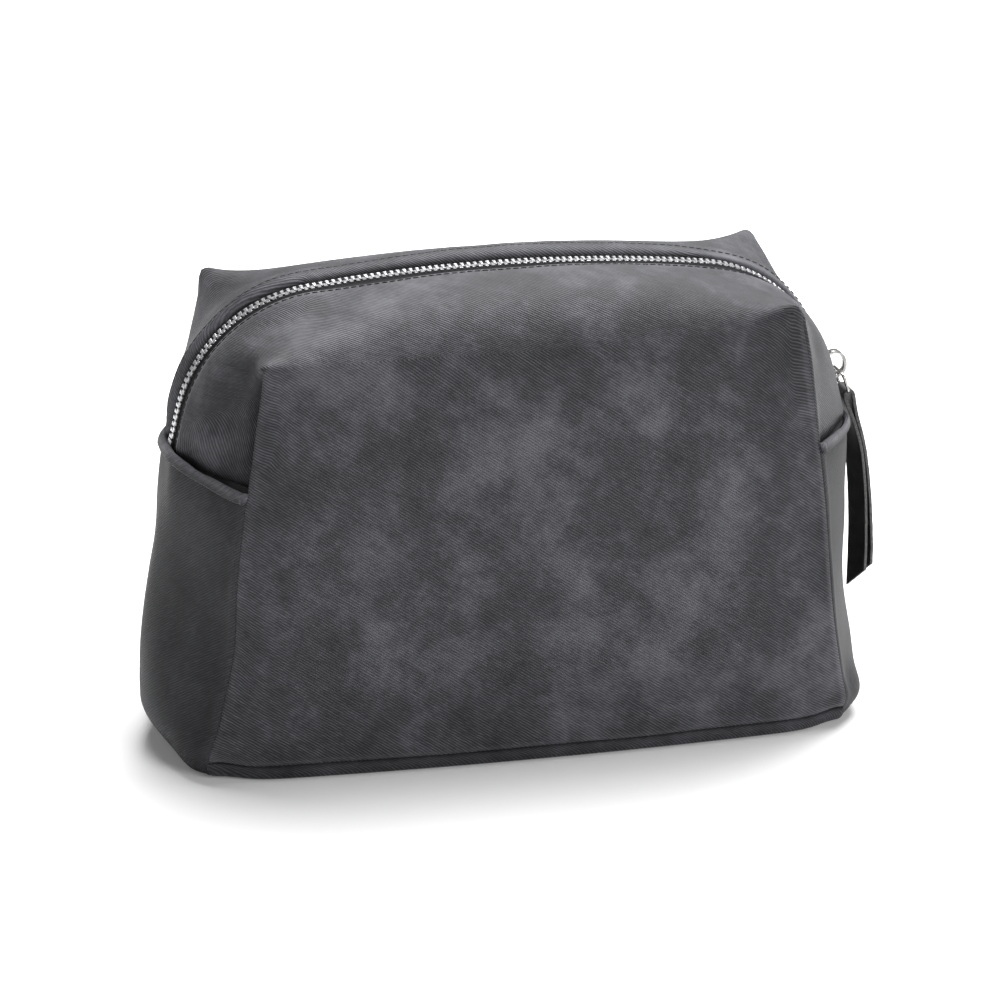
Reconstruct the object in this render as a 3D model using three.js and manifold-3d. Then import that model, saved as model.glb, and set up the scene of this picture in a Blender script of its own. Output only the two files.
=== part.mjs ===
// Shaving kit bag: a soft boxy bag of coated twill with a curved metal zip and a folded leather pull.
// Millimetres, +Z up. The origin is on the floor under the middle of the bag and the front faces -Y.

import * as THREE from 'three';
import { ConvexGeometry } from 'three/addons/geometries/ConvexGeometry.js';
import * as BufferGeometryUtils from 'three/addons/utils/BufferGeometryUtils.js';
import Module from 'manifold-3d';

const wasm = await Module();
wasm.setup();
const Manifold = wasm.Manifold;

// Outer shape of the bag: half its length at the low bulge of the end walls, and how far the rest stays in
const side_half_width = 143;
const side_bulge_height = 16;
const side_middle_height = 68;
const side_floor_inset = 10;
const side_middle_inset = 3.4;
const side_rounding_power = 1.3;
const hem_inset = 9.4;
const corner_base_inset = 16.8;
const corner_top_inset = 39.2;
const back_corner_top_inset = 30.5;
const corner_base_half_depth = 52;
const corner_top_half_depth = 48;
const back_corner_top_half_depth = 52;
const face_bulge = 5;
const face_bulge_left_at_top_share = 0.5;
const base_edge_round = 3;
const roof_fall = 6;
const roof_roll = 16;
const ear_fillet = 6;
const ear_slope_deg = -6;
const ear_below_apex = 10.8;
const front_left_ear_below_apex = 19.8;

// Arch of the zip along the middle of the bag, with straight sides down to the hems
const arch_apex_height = 183.8;
const arch_corner_radius = 60;
const arch_side_length = 17.4;
const arch_side_lean_deg = 13;
const arch_top_slope_deg = 7;
const flat_strip_share = 0.28;

// Cloth, lining and board
const cloth_thickness = 1.6;
const lining_thickness = 0.6;
const board_thickness = 2;
const seam_gap = 0.3;
const hem_band_height = 4.5;
const hem_band_proud = 1.2;
const base_edge_height = 5.5;
const base_edge_proud = 1;
const lining_zip_half_gap = 8;

// Zip chain
const tooth_pitch = 2.5;
const tooth_root_width = 1.4;
const tooth_head_width = 1.05;
const tooth_thickness = 2.4;
const tooth_length = 3.5;
const tooth_mesh_depth = 0.6;
const bead_width = 1;
const tape_thickness = 0.6;
const tape_outer_half_width = 13;
const row_parting = 1.7;
const row_end_margin = 5;
const row_join_past_slider = 1;
const stop_length = 2.4;
const stop_over_tooth = 0.2;

// Slider
const slider_length = 11;
const slider_plate_thickness = 0.9;
const slider_flange_width = 0.6;
const slider_running_gap = 0.3;
const slider_bow_allowance = 0.3;
const slider_corner_cut = 1.6;
const slider_taper_share = 0.5;
const post_half_width = 0.6;
const post_low_end = 0.3;
const post_flat_from = 0.9;
const post_flat_to = 1.3;
const post_high_end = 3.1;
const crown_width = 3.2;
const crown_thickness = 1.2;
const crown_half_length = 5;
const crown_half_rise = 4;
const crown_middle_below_slider_middle = 0.9;
const crown_middle_above_plate = 2.4;
const crown_mouth = 0.9;
const crown_segments = 14;
const ring_seat_angle_deg = 160;

// Pull ring and leather pull
const ring_wire_radius = 0.65;
const ring_inner_length = 8.4;
const ring_corner_radius = 1.6;
const ring_lean_deg = 20;
const leather_width = 10;
const leather_thickness = 1.5;
const leather_ring_gap = 0.3;
const leather_side_gap = 0.5;
const leather_drop = 78;
const leather_outward = 9.5;
const leather_bow_outward = 9.8;
const leather_bow_drop = 34;
const leather_slant = 6.5;
const leather_outer_tail_short = 3;

// How finely the shapes are divided, and small distances for building them
const depth_shares = [-1, -0.86, -0.64, -flat_strip_share, flat_strip_share, 0.64, 0.86, 1];
const face_ring_shares = [0, 0.7];
const face_middle_share = 0.69;
const side_row_shares = [0.65, 1.2];
const roof_shares = [0.66, 0.33];
const fillet_segments = 8;
const station_sag = 0.08;
const station_least_step = 0.05;
const ramp_steps = 5;
const wire_sides = 8;
const ring_corner_segments = 4;
const fold_segments = 8;
const tail_segments = 8;
const seam_reach = 15;
const seam_outer_reach_share = 4;
const merge_distance = 0.0001;
const cut_overrun = 2 * (side_half_width + arch_apex_height);

const deg = THREE.MathUtils.degToRad;
const lerp = THREE.MathUtils.lerp;

const corner_base_half_width = side_half_width - corner_base_inset;
const corner_top_half_width = side_half_width - corner_top_inset;
const back_corner_top_half_width = side_half_width - back_corner_top_inset;
const ear_height = arch_apex_height - ear_below_apex;
const front_left_ear_height = arch_apex_height - front_left_ear_below_apex;

// Arch solved from its apex height, top slope, corner radius, side lean and the half width at the hems
const arch = solveArch();
const hem_height = arch.hem.y;

function solveArch() {
  const lean = deg(arch_side_lean_deg);
  const slope = deg(arch_top_slope_deg);
  const across = arch_corner_radius * (Math.cos(lean) - Math.sin(slope));
  const top_x = side_half_width - hem_inset - across - arch_side_length * Math.sin(lean);
  const top = new THREE.Vector2(top_x, arch_apex_height - top_x * Math.tan(slope / 2));
  const towards_top = new THREE.Vector2(Math.sin(slope), Math.cos(slope));
  const towards_side = new THREE.Vector2(Math.cos(lean), Math.sin(lean));
  const down_side = new THREE.Vector2(Math.sin(lean), -Math.cos(lean));
  const centre = top.clone().addScaledVector(towards_top, -arch_corner_radius);
  const side_top = centre.clone().addScaledVector(towards_side, arch_corner_radius);
  const hem = side_top.clone().addScaledVector(down_side, arch_side_length);
  const turn = Math.PI / 2 - lean - slope;
  const tangent = arch_corner_radius * Math.tan(turn / 2);
  const corner = top.clone();
  corner.x += tangent * Math.cos(slope);
  corner.y -= tangent * Math.sin(slope);
  return { lean, slope, turn, tangent, corner, centre, hem, top_radius: top_x / Math.sin(slope) };
}

// Half width of the straight corner seams at a height, on the side of the bag that faces -1 or 1 along Y
function cornerHalfWidth(z, facing) {
  const top = facing < 0 ? corner_top_half_width : back_corner_top_half_width;
  return lerp(corner_base_half_width, top, z / ear_height);
}

// Half depth of the bag at the corner seams at a height
function cornerHalfDepth(z, facing) {
  const top = facing < 0 ? corner_top_half_depth : back_corner_top_half_depth;
  return lerp(corner_base_half_depth, top, z / ear_height);
}

// Half depth of the bag at any place of its front or back view
function halfDepth(x, z, facing) {
  const across = Math.min(1, Math.abs(x) / cornerHalfWidth(z, facing));
  const bulge = face_bulge * (1 - (1 - face_bulge_left_at_top_share) * (z / ear_height) ** 2);
  return cornerHalfDepth(z, facing) + bulge * (1 - across ** 2);
}

// Half width at the middle plane, below the hem
function middleHalfWidth(z) {
  const stops = [
    [0, side_half_width - side_floor_inset],
    [side_bulge_height, side_half_width],
    [side_middle_height, side_half_width - side_middle_inset],
    [hem_height, arch.hem.x],
  ];
  const next = Math.max(1, stops.findIndex(([height]) => height >= z));
  const [low_z, low_x] = stops[next - 1];
  const [high_z, high_x] = stops[next];
  return lerp(low_x, high_x, (z - low_z) / (high_z - low_z));
}

// Points up one side of the cross-section at a share of the depth: -1 front, 0 zip, 1 back
function sidePoints(depth_share, side) {
  const away = Math.abs(depth_share);
  const morph = Math.max(0, (away - flat_strip_share) / (1 - flat_strip_share));
  const rounding = morph ** side_rounding_power;
  const width = (z) => lerp(middleHalfWidth(z), cornerHalfWidth(z, depth_share), rounding);
  const ear_z = side < 0 && depth_share < 0 ? front_left_ear_height : ear_height;
  const ear = new THREE.Vector2(cornerHalfWidth(ear_z, depth_share), ear_z);
  const corner = arch.corner.clone().lerp(ear, morph);
  const tangent = lerp(arch.tangent, ear_fillet, morph);
  const slope = lerp(arch.slope, deg(ear_slope_deg), morph);
  const hem = new THREE.Vector2(width(hem_height), hem_height);
  const down = hem.clone().sub(corner).normalize();
  const inward = new THREE.Vector2(-Math.cos(slope), Math.sin(slope));
  const turn = Math.PI - down.angleTo(inward);
  const handle = (4 / 3) * Math.tan(turn / 4) / Math.tan(turn / 2);
  const start = corner.clone().addScaledVector(down, tangent);
  const end = corner.clone().addScaledVector(inward, tangent);
  const fillet = new THREE.CubicBezierCurve(
    start,
    start.clone().lerp(corner, handle),
    end.clone().lerp(corner, handle),
    end,
  );
  const floor_x = width(0) - base_edge_round;
  const side_rows = side_row_shares.map((share) => side_middle_height * share);
  const side_heights = [base_edge_round, side_bulge_height, ...side_rows];
  const apex = arch_apex_height - roof_fall * morph - roof_roll * morph ** 4;
  const crown_power = lerp(2, 4, morph);
  return [
    new THREE.Vector2(floor_x / 2, 0),
    new THREE.Vector2(floor_x, 0),
    ...side_heights.map((z) => new THREE.Vector2(width(z), z)),
    hem,
    ...fillet.getPoints(fillet_segments),
    ...roof_shares.map((share) => new THREE.Vector2(
      end.x * share,
      lerp(apex, end.y, share ** crown_power),
    )),
    new THREE.Vector2(0, apex),
  ];
}

// Closed loop of one cross-section, from the floor's middle up the right side and down the left
function crossSection(depth_share) {
  const right = sidePoints(depth_share, 1);
  const left = sidePoints(depth_share, -1);
  const mirrored = left.slice(0, -1).reverse().map((point) => new THREE.Vector2(-point.x, point.y));
  return [new THREE.Vector2(0, 0), ...right, ...mirrored];
}

// Places a cross-section's points in the bag
function placed(points, depth_share) {
  return points.map(({ x, y: z }) => (
    new THREE.Vector3(x, depth_share * halfDepth(x, z, depth_share), z)
  ));
}

// Rings that close the front or back face towards its middle
function faceRings(facing) {
  const rim = crossSection(facing);
  const middle = new THREE.Vector2(0, hem_height * face_middle_share);
  return face_ring_shares.map((share) => placed(
    rim.map((point) => middle.clone().lerp(point, share)),
    facing,
  ));
}

// Skin over a row of loops with equal point counts, its ends closed unless the row is a ring
function skin(loops, ring = false) {
  const count = loops[0].length;
  const corners = [];
  const apart = (a, b) => a.distanceTo(b) > merge_distance;
  const addTriangle = (a, b, c) => {
    if (apart(a, b) && apart(b, c) && apart(c, a)) corners.push(a, b, c);
  };
  const last = ring ? loops.length : loops.length - 1;
  for (let row = 0; row < last; row += 1) {
    const here = loops[row];
    const next = loops[(row + 1) % loops.length];
    for (let i = 0; i < count; i += 1) {
      const j = (i + 1) % count;
      addTriangle(here[i], next[i], next[j]);
      addTriangle(here[i], next[j], here[j]);
    }
  }
  if (!ring) {
    const end = loops[loops.length - 1];
    for (let i = 1; i < count - 1; i += 1) {
      addTriangle(loops[0][0], loops[0][i], loops[0][i + 1]);
      addTriangle(end[0], end[i + 1], end[i]);
    }
  }
  return facingOut(new THREE.BufferGeometry().setFromPoints(corners));
}

// Merged copy of a geometry with its faces pointing out
function facingOut(geometry) {
  const plain = geometry.clone();
  plain.deleteAttribute('normal');
  plain.deleteAttribute('uv');
  const merged = BufferGeometryUtils.mergeVertices(plain, merge_distance);
  const index = Array.from(merged.index.array);
  if (signedVolume(merged) < 0) {
    for (let i = 0; i < index.length; i += 3) [index[i], index[i + 1]] = [index[i + 1], index[i]];
  }
  merged.setIndex(index);
  return merged;
}

function signedVolume(geometry) {
  const [a, b, c] = [new THREE.Vector3(), new THREE.Vector3(), new THREE.Vector3()];
  const { position } = geometry.attributes;
  let volume = 0;
  for (let i = 0; i < geometry.index.count; i += 3) {
    [a, b, c].forEach((point, k) => point.fromBufferAttribute(position, geometry.index.getX(i + k)));
    volume += a.dot(b.cross(c)) / 6;
  }
  return volume;
}

// Copy of a closed geometry with every face moved out by a distance, or in by a negative one
function grown(geometry, distance) {
  const { position } = geometry.attributes;
  const normals = Array.from({ length: position.count }, () => new THREE.Vector3());
  const reach = new Array(position.count).fill(0);
  const corner = (k) => new THREE.Vector3().fromBufferAttribute(position, geometry.index.getX(k));
  const faces = [];
  for (let i = 0; i < geometry.index.count; i += 3) {
    const [a, b, c] = [corner(i), corner(i + 1), corner(i + 2)];
    const normal = b.clone().sub(a).cross(c.clone().sub(a)).normalize();
    [[a, b, c], [b, c, a], [c, a, b]].forEach(([at, one, two], k) => {
      const angle = one.clone().sub(at).angleTo(two.clone().sub(at));
      faces.push({ vertex: geometry.index.getX(i + k), normal, angle });
    });
  }
  faces.forEach(({ vertex, normal, angle }) => normals[vertex].addScaledVector(normal, angle));
  normals.forEach((normal) => normal.normalize());
  const angles = new Array(position.count).fill(0);
  faces.forEach(({ vertex, normal, angle }) => {
    reach[vertex] += angle * normal.dot(normals[vertex]);
    angles[vertex] += angle;
  });
  const moved = normals.map((normal, vertex) => (
    new THREE.Vector3().fromBufferAttribute(position, vertex)
      .addScaledVector(normal, (distance * angles[vertex]) / reach[vertex])
  ));
  const result = new THREE.BufferGeometry().setFromPoints(moved);
  result.setIndex(geometry.index.clone());
  return result;
}

function toSolid(geometry) {
  const closed = facingOut(geometry.index ? geometry : BufferGeometryUtils.mergeVertices(geometry));
  return new Manifold(new wasm.Mesh({
    numProp: 3,
    vertProperties: new Float32Array(closed.attributes.position.array),
    triVerts: new Uint32Array(closed.index.array),
  }));
}

function toGeometry(solid) {
  const mesh = solid.getMesh();
  const geometry = new THREE.BufferGeometry();
  geometry.setAttribute('position', new THREE.BufferAttribute(new Float32Array(mesh.vertProperties), 3));
  geometry.setIndex(Array.from(mesh.triVerts));
  return geometry;
}

// Box between two corners, used to cut
function block(low, high) {
  const size = high.clone().sub(low);
  const box = new THREE.BoxGeometry(size.x, size.y, size.z);
  const middle = low.clone().add(high).multiplyScalar(1 / 2);
  return toSolid(box.translate(middle.x, middle.y, middle.z));
}

// Everything between two heights, or in front of or behind the zip
function layer(low, high) {
  return block(
    new THREE.Vector3(-cut_overrun, -cut_overrun, low),
    new THREE.Vector3(cut_overrun, cut_overrun, high),
  );
}

function halfSpace(facing, half_gap) {
  const near = facing * half_gap;
  const far = facing * cut_overrun;
  return block(
    new THREE.Vector3(-cut_overrun, Math.min(near, far), -cut_overrun),
    new THREE.Vector3(cut_overrun, Math.max(near, far), cut_overrun),
  );
}

// Wedge between the two corner seams of one side, its faces at 45 degrees through the seams
function sideWedge(side, shift) {
  const points = [];
  [-seam_reach, ear_height + seam_reach].forEach((z) => {
    [-seam_reach, seam_reach * seam_outer_reach_share].forEach((away) => {
      [-1, 1].forEach((facing) => {
        const x = cornerHalfWidth(z, facing) + shift + away;
        const y = cornerHalfDepth(z, facing) + away;
        points.push(new THREE.Vector3(side * x, facing * y, z));
      });
    });
  });
  return toSolid(new ConvexGeometry(points));
}

// Closed body of the bag, from the front face to the back face
const body = skin([
  ...faceRings(-1),
  ...depth_shares.map((share) => placed(crossSection(share), share)),
  ...faceRings(1).reverse(),
]);

// Hollow shell of the bag between two depths under its outer surface
function shell(outer_depth, inner_depth) {
  return toSolid(grown(body, -outer_depth)).subtract(toSolid(grown(body, -inner_depth)));
}

const wall = shell(0, cloth_thickness);
const lining_depth = cloth_thickness + tape_thickness + 2 * seam_gap;
const hem_low = hem_height - seam_gap / 2;
const hem_high = hem_height + seam_gap / 2;
const base_low = base_edge_height - seam_gap / 2;
const base_high = base_edge_height + seam_gap / 2;
const board_floor = cloth_thickness + seam_gap;
const tub_floor = board_floor + board_thickness + seam_gap;
const cloth_zip_half_gap = sliderHalfWidth() + seam_gap;

function sliderHalfWidth() {
  return tooth_length - tooth_mesh_depth + row_parting + slider_running_gap + slider_flange_width;
}

// Upper part of the front or back panel: face, half of the roof and half of both upper sides
function upperPanel(facing) {
  const above = layer(hem_high, cut_overrun);
  return toGeometry(wall.intersect(above).intersect(halfSpace(facing, cloth_zip_half_gap)));
}

function lowerPanel(facing) {
  const between = layer(base_high, hem_low);
  const half = wall.intersect(between).intersect(halfSpace(facing, 0));
  const right = sideWedge(1, -seam_gap * Math.SQRT1_2);
  const left = sideWedge(-1, -seam_gap * Math.SQRT1_2);
  return toGeometry(half.subtract(right).subtract(left));
}

// Lower side panel with its folded hem standing proud of the cloth
function sidePanel(side) {
  const wedge = sideWedge(side, seam_gap * Math.SQRT1_2);
  const panel = wall.intersect(layer(base_high, hem_low)).intersect(wedge);
  const band = shell(-hem_band_proud, cloth_thickness / 2)
    .intersect(layer(hem_low - hem_band_height, hem_low))
    .intersect(wedge);
  return toGeometry(panel.add(band));
}

// Base cloth, wrapped up the sides to a rolled edge
function basePanel() {
  const bottom = wall.intersect(layer(-cut_overrun, base_low));
  const edge = shell(-base_edge_proud, cloth_thickness / 2).intersect(layer(0, base_low));
  return toGeometry(bottom.add(edge));
}

// Stiffener that fills the floor of the bag between the base cloth and the lining
function baseBoard() {
  const inside = toSolid(grown(body, -cloth_thickness - seam_gap));
  return toGeometry(inside.intersect(layer(board_floor, board_floor + board_thickness)));
}

function liningTub() {
  const outside = toSolid(grown(body, -lining_depth)).intersect(layer(tub_floor, hem_low));
  const inside = toSolid(grown(body, -lining_depth - lining_thickness));
  return toGeometry(outside.subtract(inside.intersect(layer(tub_floor + lining_thickness, cut_overrun))));
}

function upperLining(facing) {
  const skin_of_lining = shell(lining_depth, lining_depth + lining_thickness);
  const above = layer(hem_high, cut_overrun);
  return toGeometry(skin_of_lining.intersect(above).intersect(halfSpace(facing, lining_zip_half_gap)));
}

// Line of the zip's beads: two straight sides, two corner arcs and a flat top arc
const bead_depth = cloth_thickness + seam_gap + tape_thickness / 2;
const zip_line = zipLine();
const zip_length = zip_line.reduce((sum, run) => sum + run.length, 0);
const slider_at = zip_line[0].length;

function zipLine() {
  const radius = arch_corner_radius - bead_depth;
  const top_radius = arch.top_radius - bead_depth;
  const { lean, slope, turn } = arch;
  const side_top = arch.centre.y + radius * Math.sin(lean);
  const side_length = (side_top - hem_height) / Math.cos(lean);
  const left_centre = new THREE.Vector2(-arch.centre.x, arch.centre.y);
  const top_centre = new THREE.Vector2(0, arch_apex_height - arch.top_radius);
  return [
    { centre: arch.centre, radius, angle: lean, turn: 0, length: side_length, lead: -side_length },
    { centre: arch.centre, radius, angle: lean, turn, length: radius * turn, lead: 0 },
    {
      centre: top_centre, radius: top_radius, angle: Math.PI / 2 - slope, turn: 2 * slope,
      length: 2 * slope * top_radius, lead: 0,
    },
    { centre: left_centre, radius, angle: Math.PI / 2 + slope, turn, length: radius * turn, lead: 0 },
    { centre: left_centre, radius, angle: Math.PI - lean, turn: 0, length: side_length, lead: 0 },
  ];
}

// Point, direction and outward normal of the bead line at a distance from the right hem
function zipFrame(distance) {
  let rest = distance;
  let run = zip_line[0];
  for (const next of zip_line) {
    run = next;
    if (rest <= next.length) break;
    if (next !== zip_line[zip_line.length - 1]) rest -= next.length;
  }
  const angle = run.angle + (run.turn * rest) / run.length;
  const along = run.turn ? 0 : rest + run.lead;
  const normal = new THREE.Vector3(Math.cos(angle), 0, Math.sin(angle));
  const tangent = new THREE.Vector3(-Math.sin(angle), 0, Math.cos(angle));
  const point = new THREE.Vector3(run.centre.x, 0, run.centre.y)
    .addScaledVector(normal, run.radius)
    .addScaledVector(tangent, along);
  return { point, tangent, normal };
}

// How far each row stands away from the middle: parted below the slider, meshed above it
function rowParting(distance) {
  const low = slider_at - slider_length / 2;
  const high = slider_at + row_join_past_slider;
  return row_parting * (1 - THREE.MathUtils.smoothstep(distance, low, high));
}

// Point beside the zip: along it, across it towards the front or back, and out of the cloth
function besideZip(distance, facing, across, out) {
  const { point, normal } = zipFrame(distance);
  const shifted = facing * (across + rowParting(distance));
  return point.clone().addScaledVector(normal, out).add(new THREE.Vector3(0, shifted, 0));
}

// Distances along the zip where a swept strip needs a station
function stations(from, to) {
  const places = [from, to];
  let run_start = 0;
  zip_line.forEach((run) => {
    const steps = run.turn ? Math.ceil(run.length / Math.sqrt(8 * run.radius * station_sag)) : 1;
    for (let k = 0; k <= steps; k += 1) places.push(run_start + (run.length * k) / steps);
    run_start += run.length;
  });
  const ramp = slider_length / 2 + row_join_past_slider;
  for (let k = 0; k <= ramp_steps; k += 1) {
    places.push(slider_at - slider_length / 2 + (ramp * k) / ramp_steps);
  }
  const sorted = places.filter((place) => place >= from && place <= to).sort((a, b) => a - b);
  return sorted.filter((place, k) => k === 0 || place - sorted[k - 1] > station_least_step);
}

// Woven tape of one side, from the heels of its teeth out under the cloth
function zipTape(facing) {
  const inner = tooth_length - tooth_mesh_depth + seam_gap;
  const half = tape_thickness / 2;
  const end = seam_gap / 2;
  const loops = stations(end, zip_length - end).map((place) => {
    const edge = tape_outer_half_width - rowParting(place);
    return [[inner, -half], [edge, -half], [edge, half], [inner, half]]
      .map(([across, out]) => besideZip(place, facing, across, out));
  });
  return skin(loops);
}

// Places of one row's teeth along the zip, the back row half a pitch on
function toothPlaces(facing) {
  const first = row_end_margin + (facing > 0 ? tooth_pitch / 2 : 0);
  const count = Math.floor((zip_length - row_end_margin - first) / tooth_pitch) + 1;
  return Array.from({ length: count }, (_, k) => first + k * tooth_pitch);
}

// One row of metal teeth on its bead, each tooth narrowing to the head that meshes past the middle
function zipTeeth(facing) {
  const heel = tooth_length - tooth_mesh_depth;
  const bead_inner = heel - bead_width;
  const half = tooth_thickness / 2;
  const root = tooth_root_width / 2;
  const head = tooth_head_width / 2;
  const section = (place, inner_place, inner) => [
    besideZip(place, facing, heel, -half),
    besideZip(place, facing, heel, half),
    besideZip(inner_place, facing, inner, half),
    besideZip(inner_place, facing, inner, -half),
  ];
  const loops = toothPlaces(facing).flatMap((middle) => {
    const [low, high] = [middle - root, middle + root];
    return [
      section(low, low, bead_inner),
      section(low, middle - head, -tooth_mesh_depth),
      section(high, middle + head, -tooth_mesh_depth),
      section(high, high, bead_inner),
    ];
  });
  return skin(loops);
}

// Metal stop clamped round the end of one row, or of both rows at the zip's closed end
function endStop(middle, inner, facing) {
  const outer = tooth_length - tooth_mesh_depth;
  const half = tooth_thickness / 2 + stop_over_tooth;
  const loops = [-stop_length / 2, stop_length / 2].map((along) => [
    besideZip(middle + along, facing, outer, -half),
    besideZip(middle + along, facing, outer, half),
    besideZip(middle + along, facing, inner, half),
    besideZip(middle + along, facing, inner, -half),
  ]);
  return skin(loops);
}

function topStop(facing) {
  const middle = row_end_margin - tooth_root_width / 2 - seam_gap - stop_length / 2;
  return endStop(middle, -tooth_mesh_depth, facing);
}

function bottomStop() {
  const last_tooth = Math.max(...toothPlaces(-1), ...toothPlaces(1));
  const middle = last_tooth + tooth_root_width / 2 + seam_gap + stop_length / 2;
  return endStop(middle, tooth_mesh_depth - tooth_length, 1);
}

// Extrudes an outline drawn across and along the zip, between two heights out of it
function extrudedOut(points, low, high) {
  const options = { depth: high - low, bevelEnabled: false };
  const geometry = new THREE.ExtrudeGeometry(new THREE.Shape(points), options).translate(0, 0, low);
  const turn = new THREE.Matrix4().makeBasis(
    new THREE.Vector3(0, 1, 0),
    new THREE.Vector3(0, 0, 1),
    new THREE.Vector3(1, 0, 0),
  );
  return toSolid(geometry.applyMatrix4(turn));
}

// Extrudes an outline drawn in the X-Z plane, equally to the front and the back
function extrudedAcross(points, width) {
  const options = { depth: width, bevelEnabled: false };
  const geometry = new THREE.ExtrudeGeometry(new THREE.Shape(points), options);
  return toSolid(geometry.translate(0, 0, -width / 2).rotateX(Math.PI / 2));
}

const chain_half_thickness = tooth_thickness / 2;
const plate_inner = chain_half_thickness + slider_running_gap;
const plate_outer = plate_inner + slider_plate_thickness;
const back_plate_inner = -plate_inner - slider_bow_allowance;
const flange_inner = tape_thickness / 2 + slider_running_gap;

// Edge of the slider's plates at one side, from the wide shoulders up to the nose round the chain
function plateEdge(side, margin) {
  const half = slider_length / 2;
  const shoulder = sliderHalfWidth() - margin;
  const nose = shoulder - row_parting;
  return [
    new THREE.Vector2(side * (shoulder - slider_corner_cut), -half),
    new THREE.Vector2(side * shoulder, slider_corner_cut - half),
    new THREE.Vector2(side * shoulder, -half * slider_taper_share),
    new THREE.Vector2(side * nose, half),
  ];
}

function sliderPlate(low, high) {
  return extrudedOut([...plateEdge(1, 0), ...plateEdge(-1, 0).reverse()], low, high);
}

function sliderFlange(side, low, high) {
  const outer = plateEdge(side, 0).slice(1);
  const inner = plateEdge(side, slider_flange_width).slice(1);
  return extrudedOut([...outer, ...inner.reverse()], low, high);
}

// Wedge between the plates that parts the rows of teeth
function sliderPost() {
  const low = -slider_length / 2;
  return extrudedOut([
    new THREE.Vector2(0, low + post_low_end),
    new THREE.Vector2(post_half_width, low + post_flat_from),
    new THREE.Vector2(post_half_width, low + post_flat_to),
    new THREE.Vector2(0, low + post_high_end),
    new THREE.Vector2(-post_half_width, low + post_flat_to),
    new THREE.Vector2(-post_half_width, low + post_flat_from),
  ], back_plate_inner - slider_plate_thickness / 2, plate_inner + slider_plate_thickness / 2);
}

// Middle of the crown's ellipse: out of the zip and along it
const crown_middle = new THREE.Vector2(
  plate_outer + crown_middle_above_plate,
  -crown_middle_below_slider_middle,
);

// Hooked strip over the top plate that carries the ring, rooted at the shoulders and open by its mouth
function sliderCrown() {
  const sunk = slider_plate_thickness / 2;
  const root = Math.PI + Math.asin((crown_middle_above_plate + sunk) / crown_half_rise);
  const tip = -Math.asin((crown_middle_above_plate - crown_mouth) / crown_half_rise);
  const arc = (change) => Array.from({ length: crown_segments + 1 }, (_, k) => {
    const angle = lerp(tip, root, k / crown_segments);
    const out = (crown_half_rise + change) * Math.sin(angle);
    const along = (crown_half_length + change) * Math.cos(angle);
    return crown_middle.clone().add(new THREE.Vector2(out, along));
  });
  const half = crown_thickness / 2;
  return extrudedAcross([...arc(half), ...arc(-half).reverse()], crown_width);
}

function sliderBody() {
  const solid = [
    sliderPlate(back_plate_inner - slider_plate_thickness, back_plate_inner),
    sliderPost(),
    sliderCrown(),
    ...[1, -1].map((side) => sliderFlange(side, flange_inner, plate_outer)),
    ...[1, -1].map((side) => (
      sliderFlange(side, back_plate_inner - slider_plate_thickness, -flange_inner - slider_bow_allowance)
    )),
  ].reduce((whole, piece) => whole.add(piece), sliderPlate(plate_inner, plate_outer));
  return toGeometry(solid);
}

// Ring of round wire: its upper bar at the origin along Y, its lower bar below
function pullRing() {
  const half_width = leather_width / 2 + leather_side_gap + ring_wire_radius;
  const length = ring_inner_length + 2 * ring_wire_radius;
  const bend = ring_corner_radius;
  const loops = [[1, 0], [-1, 0], [-1, -1], [1, -1]].flatMap(([side, end], quarter) => {
    const middle_y = side * (half_width - bend);
    const middle_z = end === 0 ? -bend : bend - length;
    return Array.from({ length: ring_corner_segments + 1 }, (_, k) => {
      const angle = (Math.PI / 2) * (quarter + k / ring_corner_segments);
      const outward = new THREE.Vector3(0, Math.cos(angle), Math.sin(angle));
      const middle = new THREE.Vector3(0, middle_y, middle_z).addScaledVector(outward, bend);
      return Array.from({ length: wire_sides }, (_unused, i) => {
        const turn = (2 * Math.PI * i) / wire_sides;
        return middle.clone()
          .addScaledVector(outward, ring_wire_radius * Math.cos(turn))
          .add(new THREE.Vector3(ring_wire_radius * Math.sin(turn), 0, 0));
      });
    });
  });
  return skin(loops, true);
}

// Strip of leather folded over the ring's lower bar, which is at the origin, its two tails cut slanting
function leatherPull() {
  const route = new THREE.QuadraticBezierCurve(
    new THREE.Vector2(0, 0),
    new THREE.Vector2(leather_bow_outward, -leather_bow_drop),
    new THREE.Vector2(leather_outward, -leather_drop - leather_slant),
  );
  const inner = ring_wire_radius + leather_ring_gap;
  const outer = inner + leather_thickness;
  const beside = (share, away) => {
    const heading = route.getTangent(share);
    return route.getPoint(share).add(new THREE.Vector2(-heading.y, heading.x).multiplyScalar(away));
  };
  const tail = (away) => Array.from({ length: tail_segments + 1 }, (_, k) => beside(k / tail_segments, away));
  const start = route.getTangent(0).angle();
  const fold = (radius) => Array.from({ length: fold_segments - 1 }, (_, k) => {
    const angle = start + Math.PI / 2 + (Math.PI * (k + 1)) / fold_segments;
    return new THREE.Vector2(radius * Math.cos(angle), radius * Math.sin(angle));
  });
  const outline = [
    ...tail(outer).reverse(),
    ...fold(outer),
    ...tail(-outer),
    ...tail(-inner).reverse(),
    ...fold(inner).reverse(),
    ...tail(inner),
  ];
  return toGeometry(extrudedAcross(outline, leather_width).subtract(tailCut(outer)));
}

// Oblique cut across both tails: the front edge and the outer tail end higher
function tailCut(half_thickness) {
  const points = [];
  [-1, 1].forEach((facing) => {
    [-1, 1].forEach((outward) => {
      const x = leather_outward + outward * seam_reach;
      const step = (leather_outer_tail_short * outward * seam_reach) / (2 * half_thickness);
      const y = facing * leather_width;
      const z = -leather_drop + step - facing * leather_slant;
      points.push(new THREE.Vector3(x, y, z), new THREE.Vector3(x, y, z - cut_overrun));
    });
  });
  return toSolid(new ConvexGeometry(points));
}

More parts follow.
